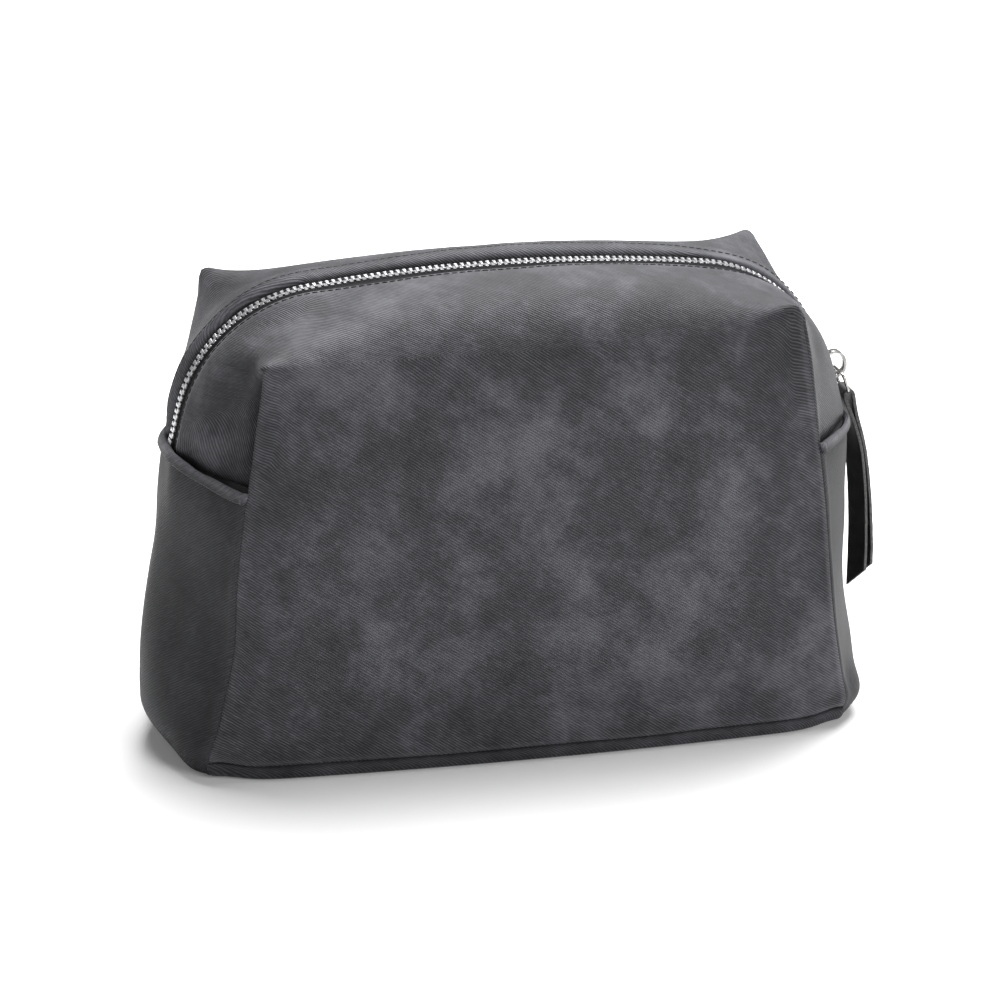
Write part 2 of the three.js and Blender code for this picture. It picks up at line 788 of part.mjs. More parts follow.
function material(color, roughness, metalness) {
  return new THREE.MeshStandardMaterial({ color, roughness, metalness });
}

const twill = material('#47474b', 0.78, 0);
const side_twill = material('#3c3c3f', 0.78, 0);
const lining_cloth = material('#2a2a2d', 0.9, 0);
const board_felt = material('#6f675c', 0.95, 0);
const tape_weave = material('#17171a', 0.9, 0);
const teeth_metal = material('#c2c0bb', 0.3, 1);
const slider_metal = material('#cfcac2', 0.22, 1);
const leather = material('#1c1b1c', 0.6, 0);

function part(name, geometry, look) {
  const mesh = new THREE.Mesh(geometry, look);
  mesh.geometry.computeVertexNormals();
  mesh.name = name;
  return mesh;
}

function bagBase() {
  const group = new THREE.Group();
  group.add(
    part('front_panel_lower', lowerPanel(-1), twill),
    part('back_panel_lower', lowerPanel(1), twill),
    part('side_panel_left', sidePanel(-1), side_twill),
    part('side_panel_right', sidePanel(1), side_twill),
    part('base_panel', basePanel(), side_twill),
    part('base_board', baseBoard(), board_felt),
    part('lining_tub', liningTub(), lining_cloth),
    part('zip_tape_front', zipTape(-1), tape_weave),
    part('zip_tape_back', zipTape(1), tape_weave),
    part('zip_teeth_front', zipTeeth(-1), teeth_metal),
    part('zip_teeth_back', zipTeeth(1), teeth_metal),
    part('top_stop_front', topStop(-1), teeth_metal),
    part('top_stop_back', topStop(1), teeth_metal),
    part('bottom_stop', bottomStop(), teeth_metal),
  );
  return group;
}

// One side of the mouth: the cloth above the hem and its lining
function mouthSide(facing, name) {
  const group = new THREE.Group();
  group.add(
    part(`${name}_panel_upper`, upperPanel(facing), twill),
    part(`lining_${name}`, upperLining(facing), lining_cloth),
  );
  return group;
}

// Slider on the zip, the ring seated in its crown and the leather folded over the ring
function sliderAndPull() {
  const group = new THREE.Group();
  const { point } = zipFrame(slider_at);
  const slider = part('slider_body', sliderBody(), slider_metal);
  group.position.copy(point);
  group.rotation.y = -arch.lean;
  group.add(slider);

  const clear = ring_wire_radius + slider_running_gap + crown_thickness / 2;
  const seat = deg(ring_seat_angle_deg);
  const ring = part('pull_ring', pullRing(), slider_metal);
  ring.position.set(
    crown_middle.x + (crown_half_rise - clear) * Math.sin(seat),
    0,
    crown_middle.y + (crown_half_length - clear) * Math.cos(seat),
  );
  ring.rotation.y = arch.lean - deg(ring_lean_deg);
  group.add(ring);

  const pull = part('leather_pull', leatherPull(), leather);
  pull.position.set(0, 0, -ring_inner_length - 2 * ring_wire_radius);
  pull.rotation.y = deg(ring_lean_deg);
  ring.add(pull);
  return group;
}

const bag = new THREE.Group();
bag.add(bagBase(), mouthSide(-1, 'front'), mouthSide(1, 'back'), sliderAndPull());

export default bag;
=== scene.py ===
import math

import bmesh
import bpy
import numpy as np
from mathutils import Matrix, Vector, noise


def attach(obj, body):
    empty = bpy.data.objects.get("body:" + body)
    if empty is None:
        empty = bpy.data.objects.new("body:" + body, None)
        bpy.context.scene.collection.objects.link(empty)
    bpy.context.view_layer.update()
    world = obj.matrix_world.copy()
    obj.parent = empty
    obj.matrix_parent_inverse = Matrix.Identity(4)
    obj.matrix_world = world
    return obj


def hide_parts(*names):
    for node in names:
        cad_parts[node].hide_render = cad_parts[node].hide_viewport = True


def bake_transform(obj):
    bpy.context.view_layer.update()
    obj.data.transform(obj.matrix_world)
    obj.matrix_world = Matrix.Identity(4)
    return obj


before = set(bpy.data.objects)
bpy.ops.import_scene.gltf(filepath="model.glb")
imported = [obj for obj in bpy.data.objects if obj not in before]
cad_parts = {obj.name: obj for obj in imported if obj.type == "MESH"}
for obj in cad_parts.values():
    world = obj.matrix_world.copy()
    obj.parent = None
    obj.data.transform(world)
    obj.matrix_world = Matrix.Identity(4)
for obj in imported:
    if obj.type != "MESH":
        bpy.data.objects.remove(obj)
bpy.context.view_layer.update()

# Sizes are in millimetres in the bag's own frame, and the meshes are made in metres
MM = 0.001

# Outer shape of the bag
SIDE_HALF_WIDTH = 143
SIDE_BULGE_HEIGHT = 16
SIDE_MIDDLE_HEIGHT = 68
SIDE_FLOOR_INSET = 12
SIDE_MIDDLE_INSET = 3.4
HEM_INSET = 9.4
CORNER_BASE_HALF_WIDTH = 126.2
CORNER_BASE_HALF_DEPTH = 52
CORNER_TOP_HALF_WIDTH = {-1: 103.8, 1: 112.5}
CORNER_TOP_HALF_DEPTH = {-1: 48, 1: 52}
FACE_BULGE = 5
ROOF_FALL = 6
ROOF_ROLL = 16
EAR_HEIGHT = 173
FRONT_LEFT_EAR_HEIGHT = 164
EAR_FILLET = {-1: 6, 1: 3.5}
EAR_SLOPE = math.radians(-6)
BASE_SEAM_HEIGHT = 5.6
HEM_HEIGHT = 116

# Arch of the zip
ARCH_APEX = 183.8
ARCH_RADIUS = 60
ARCH_LEAN = math.radians(13)
ARCH_SLOPE = math.radians(7)
ARCH_SIDE_LENGTH = 17.4
STRIP_SHARE = 0.28

# Zip
TOOTH_PITCH = 2.5
ROW_PARTING = 1.7
BEAD_DEPTH = 2.2
SLIDER_LENGTH = 11

# Cloth: its thickness, how far an edge passes behind the cloth it is sewn to, and what counts as one place
CLOTH = 0.9
BASE_CLOTH = 1.0
LINING = 0.4
SEAM_OVERLAP = 1.3
SEAM_GAP = 0.5
WELD = 0.05
METAL_WELD = 0.002


def lerp(a, b, t):
    return a + (b - a) * t


def smooth(low, high, value):
    """0 below low, 1 above high, and an even S between them"""
    t = np.clip((np.asarray(value, float) - low) / (high - low), 0, 1)
    return t * t * (3 - 2 * t)


def solve_arch():
    """Corner point, arc centre and hem point of the zip's arch on the right side"""
    across = ARCH_RADIUS * (math.cos(ARCH_LEAN) - math.sin(ARCH_SLOPE))
    top_x = SIDE_HALF_WIDTH - HEM_INSET - across - ARCH_SIDE_LENGTH * math.sin(ARCH_LEAN)
    top = np.array([top_x, ARCH_APEX - top_x * math.tan(ARCH_SLOPE / 2)])
    centre = top - ARCH_RADIUS * np.array([math.sin(ARCH_SLOPE), math.cos(ARCH_SLOPE)])
    turn = math.pi / 2 - ARCH_LEAN - ARCH_SLOPE
    tangent = ARCH_RADIUS * math.tan(turn / 2)
    corner = top + tangent * np.array([math.cos(ARCH_SLOPE), -math.sin(ARCH_SLOPE)])
    side_top = centre + ARCH_RADIUS * np.array([math.cos(ARCH_LEAN), math.sin(ARCH_LEAN)])
    hem = side_top + ARCH_SIDE_LENGTH * np.array([math.sin(ARCH_LEAN), -math.cos(ARCH_LEAN)])
    return {"corner": corner, "tangent": tangent, "centre": centre, "turn": turn, "hem": hem,
            "top_radius": top_x / math.sin(ARCH_SLOPE)}


ARCH = solve_arch()


def corner_half_width(z, facing):
    return lerp(CORNER_BASE_HALF_WIDTH, CORNER_TOP_HALF_WIDTH[facing], np.asarray(z, float) / EAR_HEIGHT)


def corner_half_depth(z, facing):
    return lerp(CORNER_BASE_HALF_DEPTH, CORNER_TOP_HALF_DEPTH[facing], np.asarray(z, float) / EAR_HEIGHT)


def half_depth(x, z, facing):
    across = np.minimum(1, np.abs(x) / corner_half_width(z, facing))
    bulge = FACE_BULGE * (1 - 0.5 * (np.asarray(z, float) / EAR_HEIGHT) ** 2)
    return corner_half_depth(z, facing) + bulge * (1 - across ** 2)


def middle_half_width(z):
    """Half width of the bag at its middle plane: the ends round under to the floor below their bulge"""
    z = np.asarray(z, float)
    heights = [0, 1.5, 4, 8, 12, SIDE_BULGE_HEIGHT, 24, SIDE_MIDDLE_HEIGHT, HEM_HEIGHT]
    insets = [SIDE_FLOOR_INSET, 8.2, 5.4, 2.6, 0.9, 0, 0.2, SIDE_MIDDLE_INSET, HEM_INSET]
    lean = math.tan(ARCH_LEAN)
    return SIDE_HALF_WIDTH - np.interp(z, heights, insets) - np.maximum(0, z - HEM_HEIGHT) * lean


def morph(away):
    return np.clip((away - STRIP_SHARE) / (1 - STRIP_SHARE), 0, 1)


def hem_rounding(away):
    """How far the plan of the ends has turned from the strip to the corner at the hem's height"""
    return np.maximum(0, away - STRIP_SHARE * (1 - away)) ** 1.3


def side_half_width(away, z, facing):
    away = np.asarray(away, float)
    rounding = lerp(away ** 1.5, hem_rounding(away), smooth(80, 112, z))
    return lerp(middle_half_width(z), corner_half_width(z, facing), rounding)


# How many points the upper outline has below the hem, up the side, round the ear and over the roof
TUCK_STEPS = 4
SIDE_STEPS = 16
EAR_STEPS = 12
ROOF_STEPS = 30
TUCK_HEIGHT = 109


def half_outline(away, ear_z, facing):
    """X and Z up one side of the bag and over to its middle, at a share of the depth from the zip"""
    q = float(morph(away))
    ear = np.array([corner_half_width(ear_z, facing), ear_z])
    corner = lerp(ARCH["corner"], ear, q)
    tangent = lerp(ARCH["tangent"], EAR_FILLET[facing], q)
    slope = lerp(ARCH_SLOPE, EAR_SLOPE, q)
    rounding = float(hem_rounding(away))
    hem = np.array([lerp(middle_half_width(HEM_HEIGHT), corner_half_width(HEM_HEIGHT, facing), rounding), HEM_HEIGHT])
    down = (hem - corner) / np.linalg.norm(hem - corner)
    inward = np.array([-math.cos(slope), math.sin(slope)])
    turn = math.pi - math.acos(float(np.clip(down @ inward, -1, 1)))
    handle = (4 / 3) * math.tan(turn / 4) / math.tan(turn / 2)
    start, end = corner + down * tangent, corner + inward * tangent
    a, b = lerp(start, corner, handle), lerp(end, corner, handle)
    t = np.linspace(0, 1, EAR_STEPS + 1)[:, None]
    ear_curve = (1 - t) ** 3 * start + 3 * (1 - t) ** 2 * t * a + 3 * (1 - t) * t ** 2 * b + t ** 3 * end
    tuck_z = np.linspace(TUCK_HEIGHT, HEM_HEIGHT, TUCK_STEPS + 1)[:-1]
    tuck = np.stack([hem[0] + (HEM_HEIGHT - tuck_z) * math.tan(ARCH_LEAN) * (1 - q), tuck_z], 1)
    side = lerp(hem, start, np.linspace(0, 1, SIDE_STEPS + 1)[:-1, None])
    apex = ARCH_APEX - ROOF_FALL * q - ROOF_ROLL * q ** 4
    share = np.linspace(1, 0, ROOF_STEPS + 1)[1:]
    roof = np.stack([end[0] * share, lerp(apex, end[1], share ** lerp(2, 4, q))], 1)
    return np.concatenate([tuck, side, ear_curve, roof])


def upper_outline(away, facing):
    """Closed over the top: from the left side's tuck over the roof to the right side's"""
    left = half_outline(away, FRONT_LEFT_EAR_HEIGHT if facing < 0 else EAR_HEIGHT, facing)
    right = half_outline(away, EAR_HEIGHT, facing)
    return np.concatenate([left * [-1, 1], right[-2::-1]])


# Columns of the upper cloth: where the ears are, how far each column is from its end, and which lie on the ends
EAR_COLUMN = TUCK_STEPS + SIDE_STEPS + EAR_STEPS // 2
COLUMNS = 2 * (TUCK_STEPS + SIDE_STEPS + EAR_STEPS + 1 + ROOF_STEPS) - 1
LAST_EAR = COLUMNS - 1 - EAR_COLUMN
FROM_END = np.minimum(np.arange(COLUMNS), np.arange(COLUMNS)[::-1])
AT_SIDE = FROM_END < EAR_COLUMN

# Soft dents and swells of the cloth: centre, reach and push in millimetres
SWELLS = [
    # The valley beside the front left edge and the dent beside the front right one
    ((-118, -34, 140), (14, 9, 22), (5, 0, 0)),
    ((-112, -38, 156), (12, 8, 9), (3, 2, 1)),
    ((114, -36, 158), (12, 8, 14), (-2.5, 0, 0)),
    ((106, -47, 168), (12, 12, 14), (-1.6, 0, 2)),
    # The back's corners
    ((-112, 52, 160), (45, 40, 40), (2, 0, 0)),
    ((-116, 45, 124), (30, 34, 24), (3, 0, 0)),
    ((112, 52, 173), (30, 30, 30), (1, 0, 1.5)),
    # The right end is drawn in above its bulge, and the front left edge bows in above the floor
    ((141, 0, 52), (30, 70, 26), (-3.5, 0, 0)),
    ((-121, -51, 52), (9, 16, 20), (2.4, 0, 0)),
    # The fuller left end above the floor
    ((-140, -26, 24), (14, 28, 24), (-4.4, -1.5, 0)),
    ((-130, -42, 8), (12, 15, 11), (-4.6, -2, 0)),
    ((-142, -8, 48), (14, 34, 22), (-2.4, 0, 0)),
    # The puffed low corner of the right end
    ((133, -40, 9), (9, 14, 10), (4.5, -1.5, 0)),
    # The puffed tip of the front left ear, and the dimple beside the front's left edge
    ((-107, -45, 164), (7, 7, 5), (-1.5, -1.5, 1.6)),
    ((-117, -54, 44), (9, 9, 9), (0, 1.6, 0)),
    # The boxed corners at the floor, the front ones lifted a little
    ((-127, -53, 0), (13, 13, 8), (2.2, 6, 0)),
    ((127, -53, 0), (13, 13, 8), (-2.2, 6, 0)),
    ((-127, 53, 0), (13, 13, 8), (2.2, -6, 0)),
    ((127, 53, 0), (13, 13, 8), (-2.2, -6, 0)),
    ((-124, -53, 7), (8, 9, 6), (0, 0, 2.4)),
    ((124, -53, 7), (8, 9, 6), (0, 0, 1.6)),
]


def sagged(co):
    """Points of the bag's skin after the cloth's dents and swells"""
    co = np.array(co, float)
    moved = co.copy()
    for centre, reach, push in SWELLS:
        d = (co - centre) / reach
        moved += np.exp(-(d ** 2).sum(-1))[..., None] * push
    return moved


def offset_out(points, distance):
    """Grid of points moved along its own normals"""
    normal = np.cross(np.gradient(points, axis=1), np.gradient(points, axis=0))
    normal /= np.linalg.norm(normal, axis=-1, keepdims=True) + 1e-12
    return points + normal * np.asarray(distance)[..., None]


def new_mesh(name):
    obj = bpy.data.objects.new(name, bpy.data.meshes.new(name))
    bpy.context.scene.collection.objects.link(obj)
    return obj


def finished(bm, name, material, smooth_shade=True):
    """Object of a finished bmesh, which is freed"""
    obj = new_mesh(name)
    bm.to_mesh(obj.data)
    bm.free()
    if smooth_shade:
        for polygon in obj.data.polygons:
            polygon.use_smooth = True
    obj.data.materials.append(material)
    return obj


def cloth_grid(bm, points, uv, wear_and_highlight=0.0):
    """Grid of cloth: rows and columns of points in millimetres, its weave's own coordinates in millimetres, and
    how worn it is from 0 to 1, which also paints highlight on its proud edges"""
    rows, columns = points.shape[:2]
    wear_and_highlight_layer = bm.verts.layers.float.get("wear_and_highlight") or bm.verts.layers.float.new("wear_and_highlight")
    uv_layer = bm.loops.layers.uv.get("weave") or bm.loops.layers.uv.new("weave")
    made = bmesh.ops.create_grid(bm, x_segments=columns - 1, y_segments=rows - 1, size=1)
    verts = sorted(made["verts"], key=lambda v: (round(v.co.y * rows * 4), v.co.x))
    wear_and_highlight = np.broadcast_to(wear_and_highlight, (rows, columns))
    places = {}
    for index, vert in enumerate(verts):
        r, c = divmod(index, columns)
        places[vert] = uv[r, c]
        vert.co = Vector(points[r, c]) * MM
        vert[wear_and_highlight_layer] = float(wear_and_highlight[r, c])
    for face in {face for vert in verts for face in vert.link_faces}:
        for loop in face.loops:
            loop[uv_layer].uv = places[loop.vert]
    return verts


def face_out(bm):
    """Turns the faces of an open cloth away from the middle of the bag"""
    bmesh.ops.recalc_face_normals(bm, faces=bm.faces)
    middle = Vector((0, 0, 80)) * MM
    if sum((face.calc_center_median() - middle).dot(face.normal) * face.calc_area() for face in bm.faces) < 0:
        bmesh.ops.reverse_faces(bm, faces=bm.faces)


def add_modifier(obj, kind, **settings):
    modifier = obj.modifiers.new(kind.lower(), kind)
    for key, value in settings.items():
        setattr(modifier, key, value)
    return modifier


def thickened(obj, thickness, rounded=True):
    """Gives a cloth its thickness in millimetres, to its inside, and rounds its folds"""
    add_modifier(obj, "SOLIDIFY", thickness=thickness * MM, offset=-1)
    if rounded:
        add_modifier(obj, "SUBSURF", levels=1, render_levels=1)
    return obj


def linear(hex_colour):
    """Linear colour of an sRGB hex value"""
    parts = [int(hex_colour[i:i + 2], 16) / 255 for i in (1, 3, 5)]
    return [c / 12.92 if c <= 0.04045 else ((c + 0.055) / 1.055) ** 2.4 for c in parts] + [1]


def node(tree, kind, stops=(), **settings):
    """Adds a node. A setting is a property or an input, named with _ for each space or by i and its number. An
    input takes a value, a socket or a node's first output. Stops are a ramp's places and sRGB hex colours."""
    made = tree.nodes.new(kind)
    for key, value in settings.items():
        if hasattr(made, key):
            setattr(made, key, value)
            continue
        socket = made.inputs[int(key[1:]) if key[1:].isdigit() else key.replace("_", " ")]
        if isinstance(value, bpy.types.Node):
            value = value.outputs[0]
        if isinstance(value, bpy.types.NodeSocket):
            tree.links.new(value, socket)
        else:
            socket.default_value = value
    if stops:
        elements = made.color_ramp.elements
        while len(elements) < len(stops):
            elements.new(0.5)
        for element, (place, colour) in zip(elements, stops):
            element.position, element.color = place, linear(colour)
    return made


def new_material(name):
    material = bpy.data.materials.new(name)
    material.use_nodes = True
    tree = material.node_tree
    tree.nodes.clear()
    return material, tree


def surfaced(tree, shader, height, distance_mm, strength):
    """Gives a shader its fine relief and makes it the material's surface"""
    bump = node(tree, "ShaderNodeBump", Strength=strength, Distance=distance_mm * MM, Height=height)
    tree.links.new(bump.outputs[0], shader.inputs["Normal"])
    node(tree, "ShaderNodeOutputMaterial", Surface=shader)


def twill_cloth(name, dark, middle, light, thread, roughness):
    """Cotton twill with a brushed, slightly waxy coating: fine slanting ribs, worn cloudy, and lighter on its folds
    from wear and painted highlight
    """
    material, tree = new_material(name)
    place = node(tree, "ShaderNodeTexCoord").outputs["Object"]
    # The ribs slant down at 35 degrees and are 0.95 mm apart, and catch the light in streaks
    along = node(tree, "ShaderNodeMapping", Rotation=(0, 0, math.radians(34.6)),
                 Vector=node(tree, "ShaderNodeUVMap", uv_map="weave"))
    ribs = node(tree, "ShaderNodeTexWave", wave_type="BANDS", bands_direction="Y", wave_profile="SIN", Scale=0.3307,
                Distortion=1.5, Detail=2.0, Detail_Scale=0.9, Vector=along)
    stretched = node(tree, "ShaderNodeMapping", Scale=(0.2, 1.1, 1), Vector=along)
    streaks = node(tree, "ShaderNodeTexNoise", Scale=1.0, Detail=2.0, Roughness=0.6, Vector=stretched)
    raised = node(tree, "ShaderNodeMath", operation="ADD", i0=streaks, i1=0.1)
    weave = node(tree, "ShaderNodeMath", operation="MULTIPLY", i0=ribs.outputs["Fac"], i1=raised)
    # Clouds of wear, 20 to 80 mm across and a little upright, patches of 15 mm with small dark flecks in them, and
    # faint scuffs along the ribs, 30 mm long and 5 mm wide
    upright = node(tree, "ShaderNodeMapping", Scale=(24, 24, 16), Vector=place)
    clouds = node(tree, "ShaderNodeTexNoise", Scale=1.0, Detail=5.0, Roughness=0.6, Vector=upright)
    patches = node(tree, "ShaderNodeTexNoise", Scale=66.0, Detail=5.0, Roughness=0.7, Vector=place)
    brushed = node(tree, "ShaderNodeMapping", Scale=(0.035, 0.2, 1), Vector=along)
    scuffs = node(tree, "ShaderNodeTexNoise", Scale=1.0, Detail=4.0, Roughness=0.65, Distortion=0.4, Vector=brushed)
    mottle = 0.0
    for layer, weight in ((clouds, 0.52), (patches, 0.38), (scuffs, 0.1)):
        part = node(tree, "ShaderNodeMath", operation="MULTIPLY", i0=layer, i1=weight)
        mottle = node(tree, "ShaderNodeMath", operation="ADD", i0=mottle, i1=part)
    base = node(tree, "ShaderNodeValToRGB", [(0.37, dark), (0.49, middle), (0.64, light)], Fac=mottle)
    # The gaps between the ribs are darker, the threads on them lighter, and rubbed edges lighter still, from wear and
    # painted highlight
    between = node(tree, "ShaderNodeMapRange", From_Min=0.0, From_Max=0.3, To_Min=0.68, To_Max=1.0, Value=weave)
    shaded = node(tree, "ShaderNodeMix", data_type="RGBA", blend_type="MULTIPLY", i0=1, i6=base, i7=between)
    lit = node(tree, "ShaderNodeMath", operation="MULTIPLY", i0=weave, i1=mottle)
    threads = node(tree, "ShaderNodeMapRange", From_Min=0.12, From_Max=0.42, To_Min=0.0, To_Max=0.5, Value=lit)
    woven = node(tree, "ShaderNodeMix", data_type="RGBA", i0=threads, i6=shaded.outputs[2], i7=linear(thread))
    # Seams and folds turn towards a pale grey: wear, and painted highlight where proud edges catch the light
    wear_and_highlight = node(tree, "ShaderNodeAttribute", attribute_name="wear_and_highlight").outputs["Fac"]
    rubbed_and_highlit = node(tree, "ShaderNodeMath", operation="MULTIPLY", i0=wear_and_highlight, i1=streaks)
    edged = node(tree, "ShaderNodeMix", data_type="RGBA", i0=rubbed_and_highlit, i6=woven.outputs[2], i7=linear("#808086"))
    rough = node(tree, "ShaderNodeMapRange", To_Min=roughness - 0.1, To_Max=roughness + 0.1, Value=mottle)
    shader = node(tree, "ShaderNodeBsdfPrincipled", Base_Color=edged.outputs[2], Roughness=rough,
                  Specular_IOR_Level=0.17, Sheen_Weight=0.08, Sheen_Roughness=0.5)
    surfaced(tree, shader, weave, 0.3, 0.6)
    return material


def woven_cloth(name, colour, light, pitch_mm, roughness):
    """Plain woven nylon or polyester: a fine even grid of threads"""
    material, tree = new_material(name)
    place = node(tree, "ShaderNodeTexCoord").outputs["Object"]
    # A wave texture of scale 0.314159 repeats once in a metre
    scale = 0.314159 / (pitch_mm * MM)
    first = node(tree, "ShaderNodeTexWave", bands_direction="X", Scale=scale, Vector=place)
    second = node(tree, "ShaderNodeTexWave", bands_direction="DIAGONAL", Scale=scale, Vector=place)
    weave = node(tree, "ShaderNodeMath", operation="MULTIPLY", i0=first.outputs["Fac"], i1=second.outputs["Fac"])
    base = node(tree, "ShaderNodeValToRGB", [(0.2, colour), (0.9, light)], Fac=weave)
    shader = node(tree, "ShaderNodeBsdfPrincipled", Base_Color=base, Roughness=roughness, Specular_IOR_Level=0.3)
    surfaced(tree, shader, weave, 0.15, 0.5)
    return material


def plated_metal(name, colour, dark, roughness):
    """Nickel plate over stamped or die-cast metal: bright, with faint tumbling marks and a greyer film"""
    material, tree = new_material(name)
    place = node(tree, "ShaderNodeTexCoord").outputs["Object"]
    film = node(tree, "ShaderNodeTexNoise", Scale=900.0, Detail=3.0, Vector=place)
    base = node(tree, "ShaderNodeValToRGB", [(0.35, dark), (0.6, colour)], Fac=film)
    rough = node(tree, "ShaderNodeMapRange", To_Min=roughness - 0.06, To_Max=roughness + 0.1, Value=film)
    shader = node(tree, "ShaderNodeBsdfPrincipled", Metallic=1.0, Base_Color=base, Roughness=rough)
    surfaced(tree, shader, film, 0.02, 0.25)
    return material


def grain_leather(name, colour, light):
    """Smooth cowhide, dyed black and waxed: a tight pebble grain that catches small highlights"""
    material, tree = new_material(name)
    place = node(tree, "ShaderNodeTexCoord").outputs["Object"]
    grain = node(tree, "ShaderNodeTexVoronoi", feature="DISTANCE_TO_EDGE", Scale=1400.0, Vector=place)
    creases = node(tree, "ShaderNodeTexNoise", Scale=260.0, Detail=4.0, Vector=place)
    base = node(tree, "ShaderNodeValToRGB", [(0.35, colour), (0.75, light)], Fac=creases)
    shader = node(tree, "ShaderNodeBsdfPrincipled", Base_Color=base, Roughness=0.46, Specular_IOR_Level=0.5)
    deep = node(tree, "ShaderNodeMath", operation="MULTIPLY", i0=creases, i1=0.8)
    height = node(tree, "ShaderNodeMath", operation="ADD", i0=grain.outputs["Distance"], i1=deep)
    surfaced(tree, shader, height, 0.15, 0.5)
    return material


def cut_leather(name, colour, light):
    """Raw cut edge and flesh side of the hide, and fibre board: matt and fibrous"""
    material, tree = new_material(name)
    place = node(tree, "ShaderNodeTexCoord").outputs["Object"]
    fibres = node(tree, "ShaderNodeTexNoise", Scale=1500.0, Detail=4.0, Roughness=0.7, Vector=place)
    base = node(tree, "ShaderNodeValToRGB", [(0.35, colour), (0.7, light)], Fac=fibres)
    shader = node(tree, "ShaderNodeBsdfPrincipled", Base_Color=base, Roughness=0.9, Specular_IOR_Level=0.2)
    surfaced(tree, shader, fibres, 0.3, 0.9)
    return material


twill = twill_cloth("coated cotton twill", "#28282b", "#37373b", "#5e5e64", "#7c7c82", 0.56)
# The ends are the same twill in darker colours: painted shade for the ends turned away from the lamps
end_twill_painted_shade = twill_cloth("coated cotton twill of the ends darkened as painted shade", "#1d1d1f", "#262628", "#38383b", "#58585e", 0.6)
base_twill = twill_cloth("coated cotton twill of the base", "#28282b", "#343438", "#4c4c51", "#68686e", 0.6)
lining_cloth = woven_cloth("nylon lining", "#232326", "#343438", 0.5, 0.8)
tape_weave = woven_cloth("woven polyester zip tape", "#0f0f11", "#242428", 0.7, 0.9)
board_fibre = cut_leather("grey fibre board", "#6d675c", "#857e72")
thread_twist = woven_cloth("bonded polyester thread", "#141416", "#2c2c30", 0.4, 0.6)
# The same thread in lighter colours, for the stitches on the lit ridge of the back fold: painted highlight
highlit_thread = woven_cloth("polyester thread lightened as painted highlight", "#3c3c40", "#6a6a70", 0.4, 0.6)
tooth_nickel = plated_metal("stamped nickel silver", "#dcdcde", "#a2a2a6", 0.3)
nickel = plated_metal("polished nickel plate", "#b9b7b5", "#8f8e8d", 0.18)
leather_face = grain_leather("black waxed cowhide", "#121213", "#242426")
leather_edge = cut_leather("raw cut edge of cowhide", "#38383a", "#7a7978")


def make_camera():
    """Camera at the photograph's angle, with its roll and its long lens"""
    azimuth, elevation, roll = math.radians(14.2), math.radians(20.3), math.radians(0.59)
    target, distance = Vector((-2.4, 0, 86.1)), 1622
    back = Vector((-math.sin(azimuth) * math.cos(elevation),
                   -math.cos(azimuth) * math.cos(elevation), math.sin(elevation)))
    level = (-back).cross(Vector((0, 0, 1))).normalized()
    upright = level.cross(-back)
    right = level * math.cos(roll) + upright * math.sin(roll)
    up = upright * math.cos(roll) - level * math.sin(roll)
    placed = Matrix((right, up, back)).transposed().to_4x4()
    placed.translation = (target + back * distance) * MM
    data = bpy.data.cameras.new("camera")
    data.lens = 150.2
    data.sensor_width = 36
    data.clip_end = 50
    camera = bpy.data.objects.new("camera", data)
    camera.matrix_world = placed
    bpy.context.scene.collection.objects.link(camera)
    bpy.context.scene.camera = camera


def make_lamp(name, place, aim, size, power):
    data = bpy.data.lights.new(name, "AREA")
    data.size = size
    data.energy = power
    lamp = bpy.data.objects.new(name, data)
    lamp.location = place
    lamp.rotation_euler = (Vector(aim) - Vector(place)).to_track_quat("-Z", "Y").to_euler()
    bpy.context.scene.collection.objects.link(lamp)


def make_stage():
    """White studio: a pale fill that the camera sees as white, a paper floor and two softboxes"""
    world = bpy.data.worlds.new("studio")
    bpy.context.scene.world = world
    world.use_nodes = True
    tree = world.node_tree
    tree.nodes.clear()
    path = node(tree, "ShaderNodeLightPath").outputs
    glossy = node(tree, "ShaderNodeMath", operation="MULTIPLY", i0=path["Is Glossy Ray"], i1=0.35)
    shiny = node(tree, "ShaderNodeMath", operation="MAXIMUM", i0=glossy, i1=path["Is Transmission Ray"])
    seen = node(tree, "ShaderNodeMath", operation="MAXIMUM", i0=path["Is Camera Ray"], i1=shiny)
    fill = node(tree, "ShaderNodeBackground", Color=(1, 1, 1, 1), Strength=0.12)
    white = node(tree, "ShaderNodeBackground", Color=(1, 1, 1, 1), Strength=1.0)
    node(tree, "ShaderNodeOutputWorld", Surface=node(tree, "ShaderNodeMixShader", i0=seen, i1=fill, i2=white))
    bm = bmesh.new()
    bmesh.ops.create_grid(bm, x_segments=1, y_segments=1, size=8)
    floor = new_mesh("floor")
    bm.to_mesh(floor.data)
    bm.free()
    # White paper: it keeps the bag's shadow, and away from the bag it runs on as the white of the background
    paper, tree = new_material("white paper")
    place = node(tree, "ShaderNodeTexCoord").outputs["Object"]
    away = node(tree, "ShaderNodeVectorMath", operation="LENGTH", i0=place).outputs["Value"]
    glow = node(tree, "ShaderNodeMapRange", From_Min=0.25, From_Max=1.1, To_Min=0.11, To_Max=0.7, Value=away)
    direct = node(tree, "ShaderNodeLightPath").outputs["Is Camera Ray"]
    shown = node(tree, "ShaderNodeMath", operation="MULTIPLY", i0=glow, i1=direct)
    shader = node(tree, "ShaderNodeBsdfPrincipled", Base_Color=linear("#f7f7f7"), Roughness=0.9,
                  Specular_IOR_Level=0.1, Emission_Color=(1, 1, 1, 1), Emission_Strength=shown)
    node(tree, "ShaderNodeOutputMaterial", Surface=shader)
    floor.data.materials.append(paper)
    make_lamp("overhead softbox", (0.4, 0.7, 1.8), (0, 0, 0.08), 1.5, 86)
    make_lamp("right softbox", (1.05, -1.95, 1.2), (0, 0, 0.08), 1.1, 22)


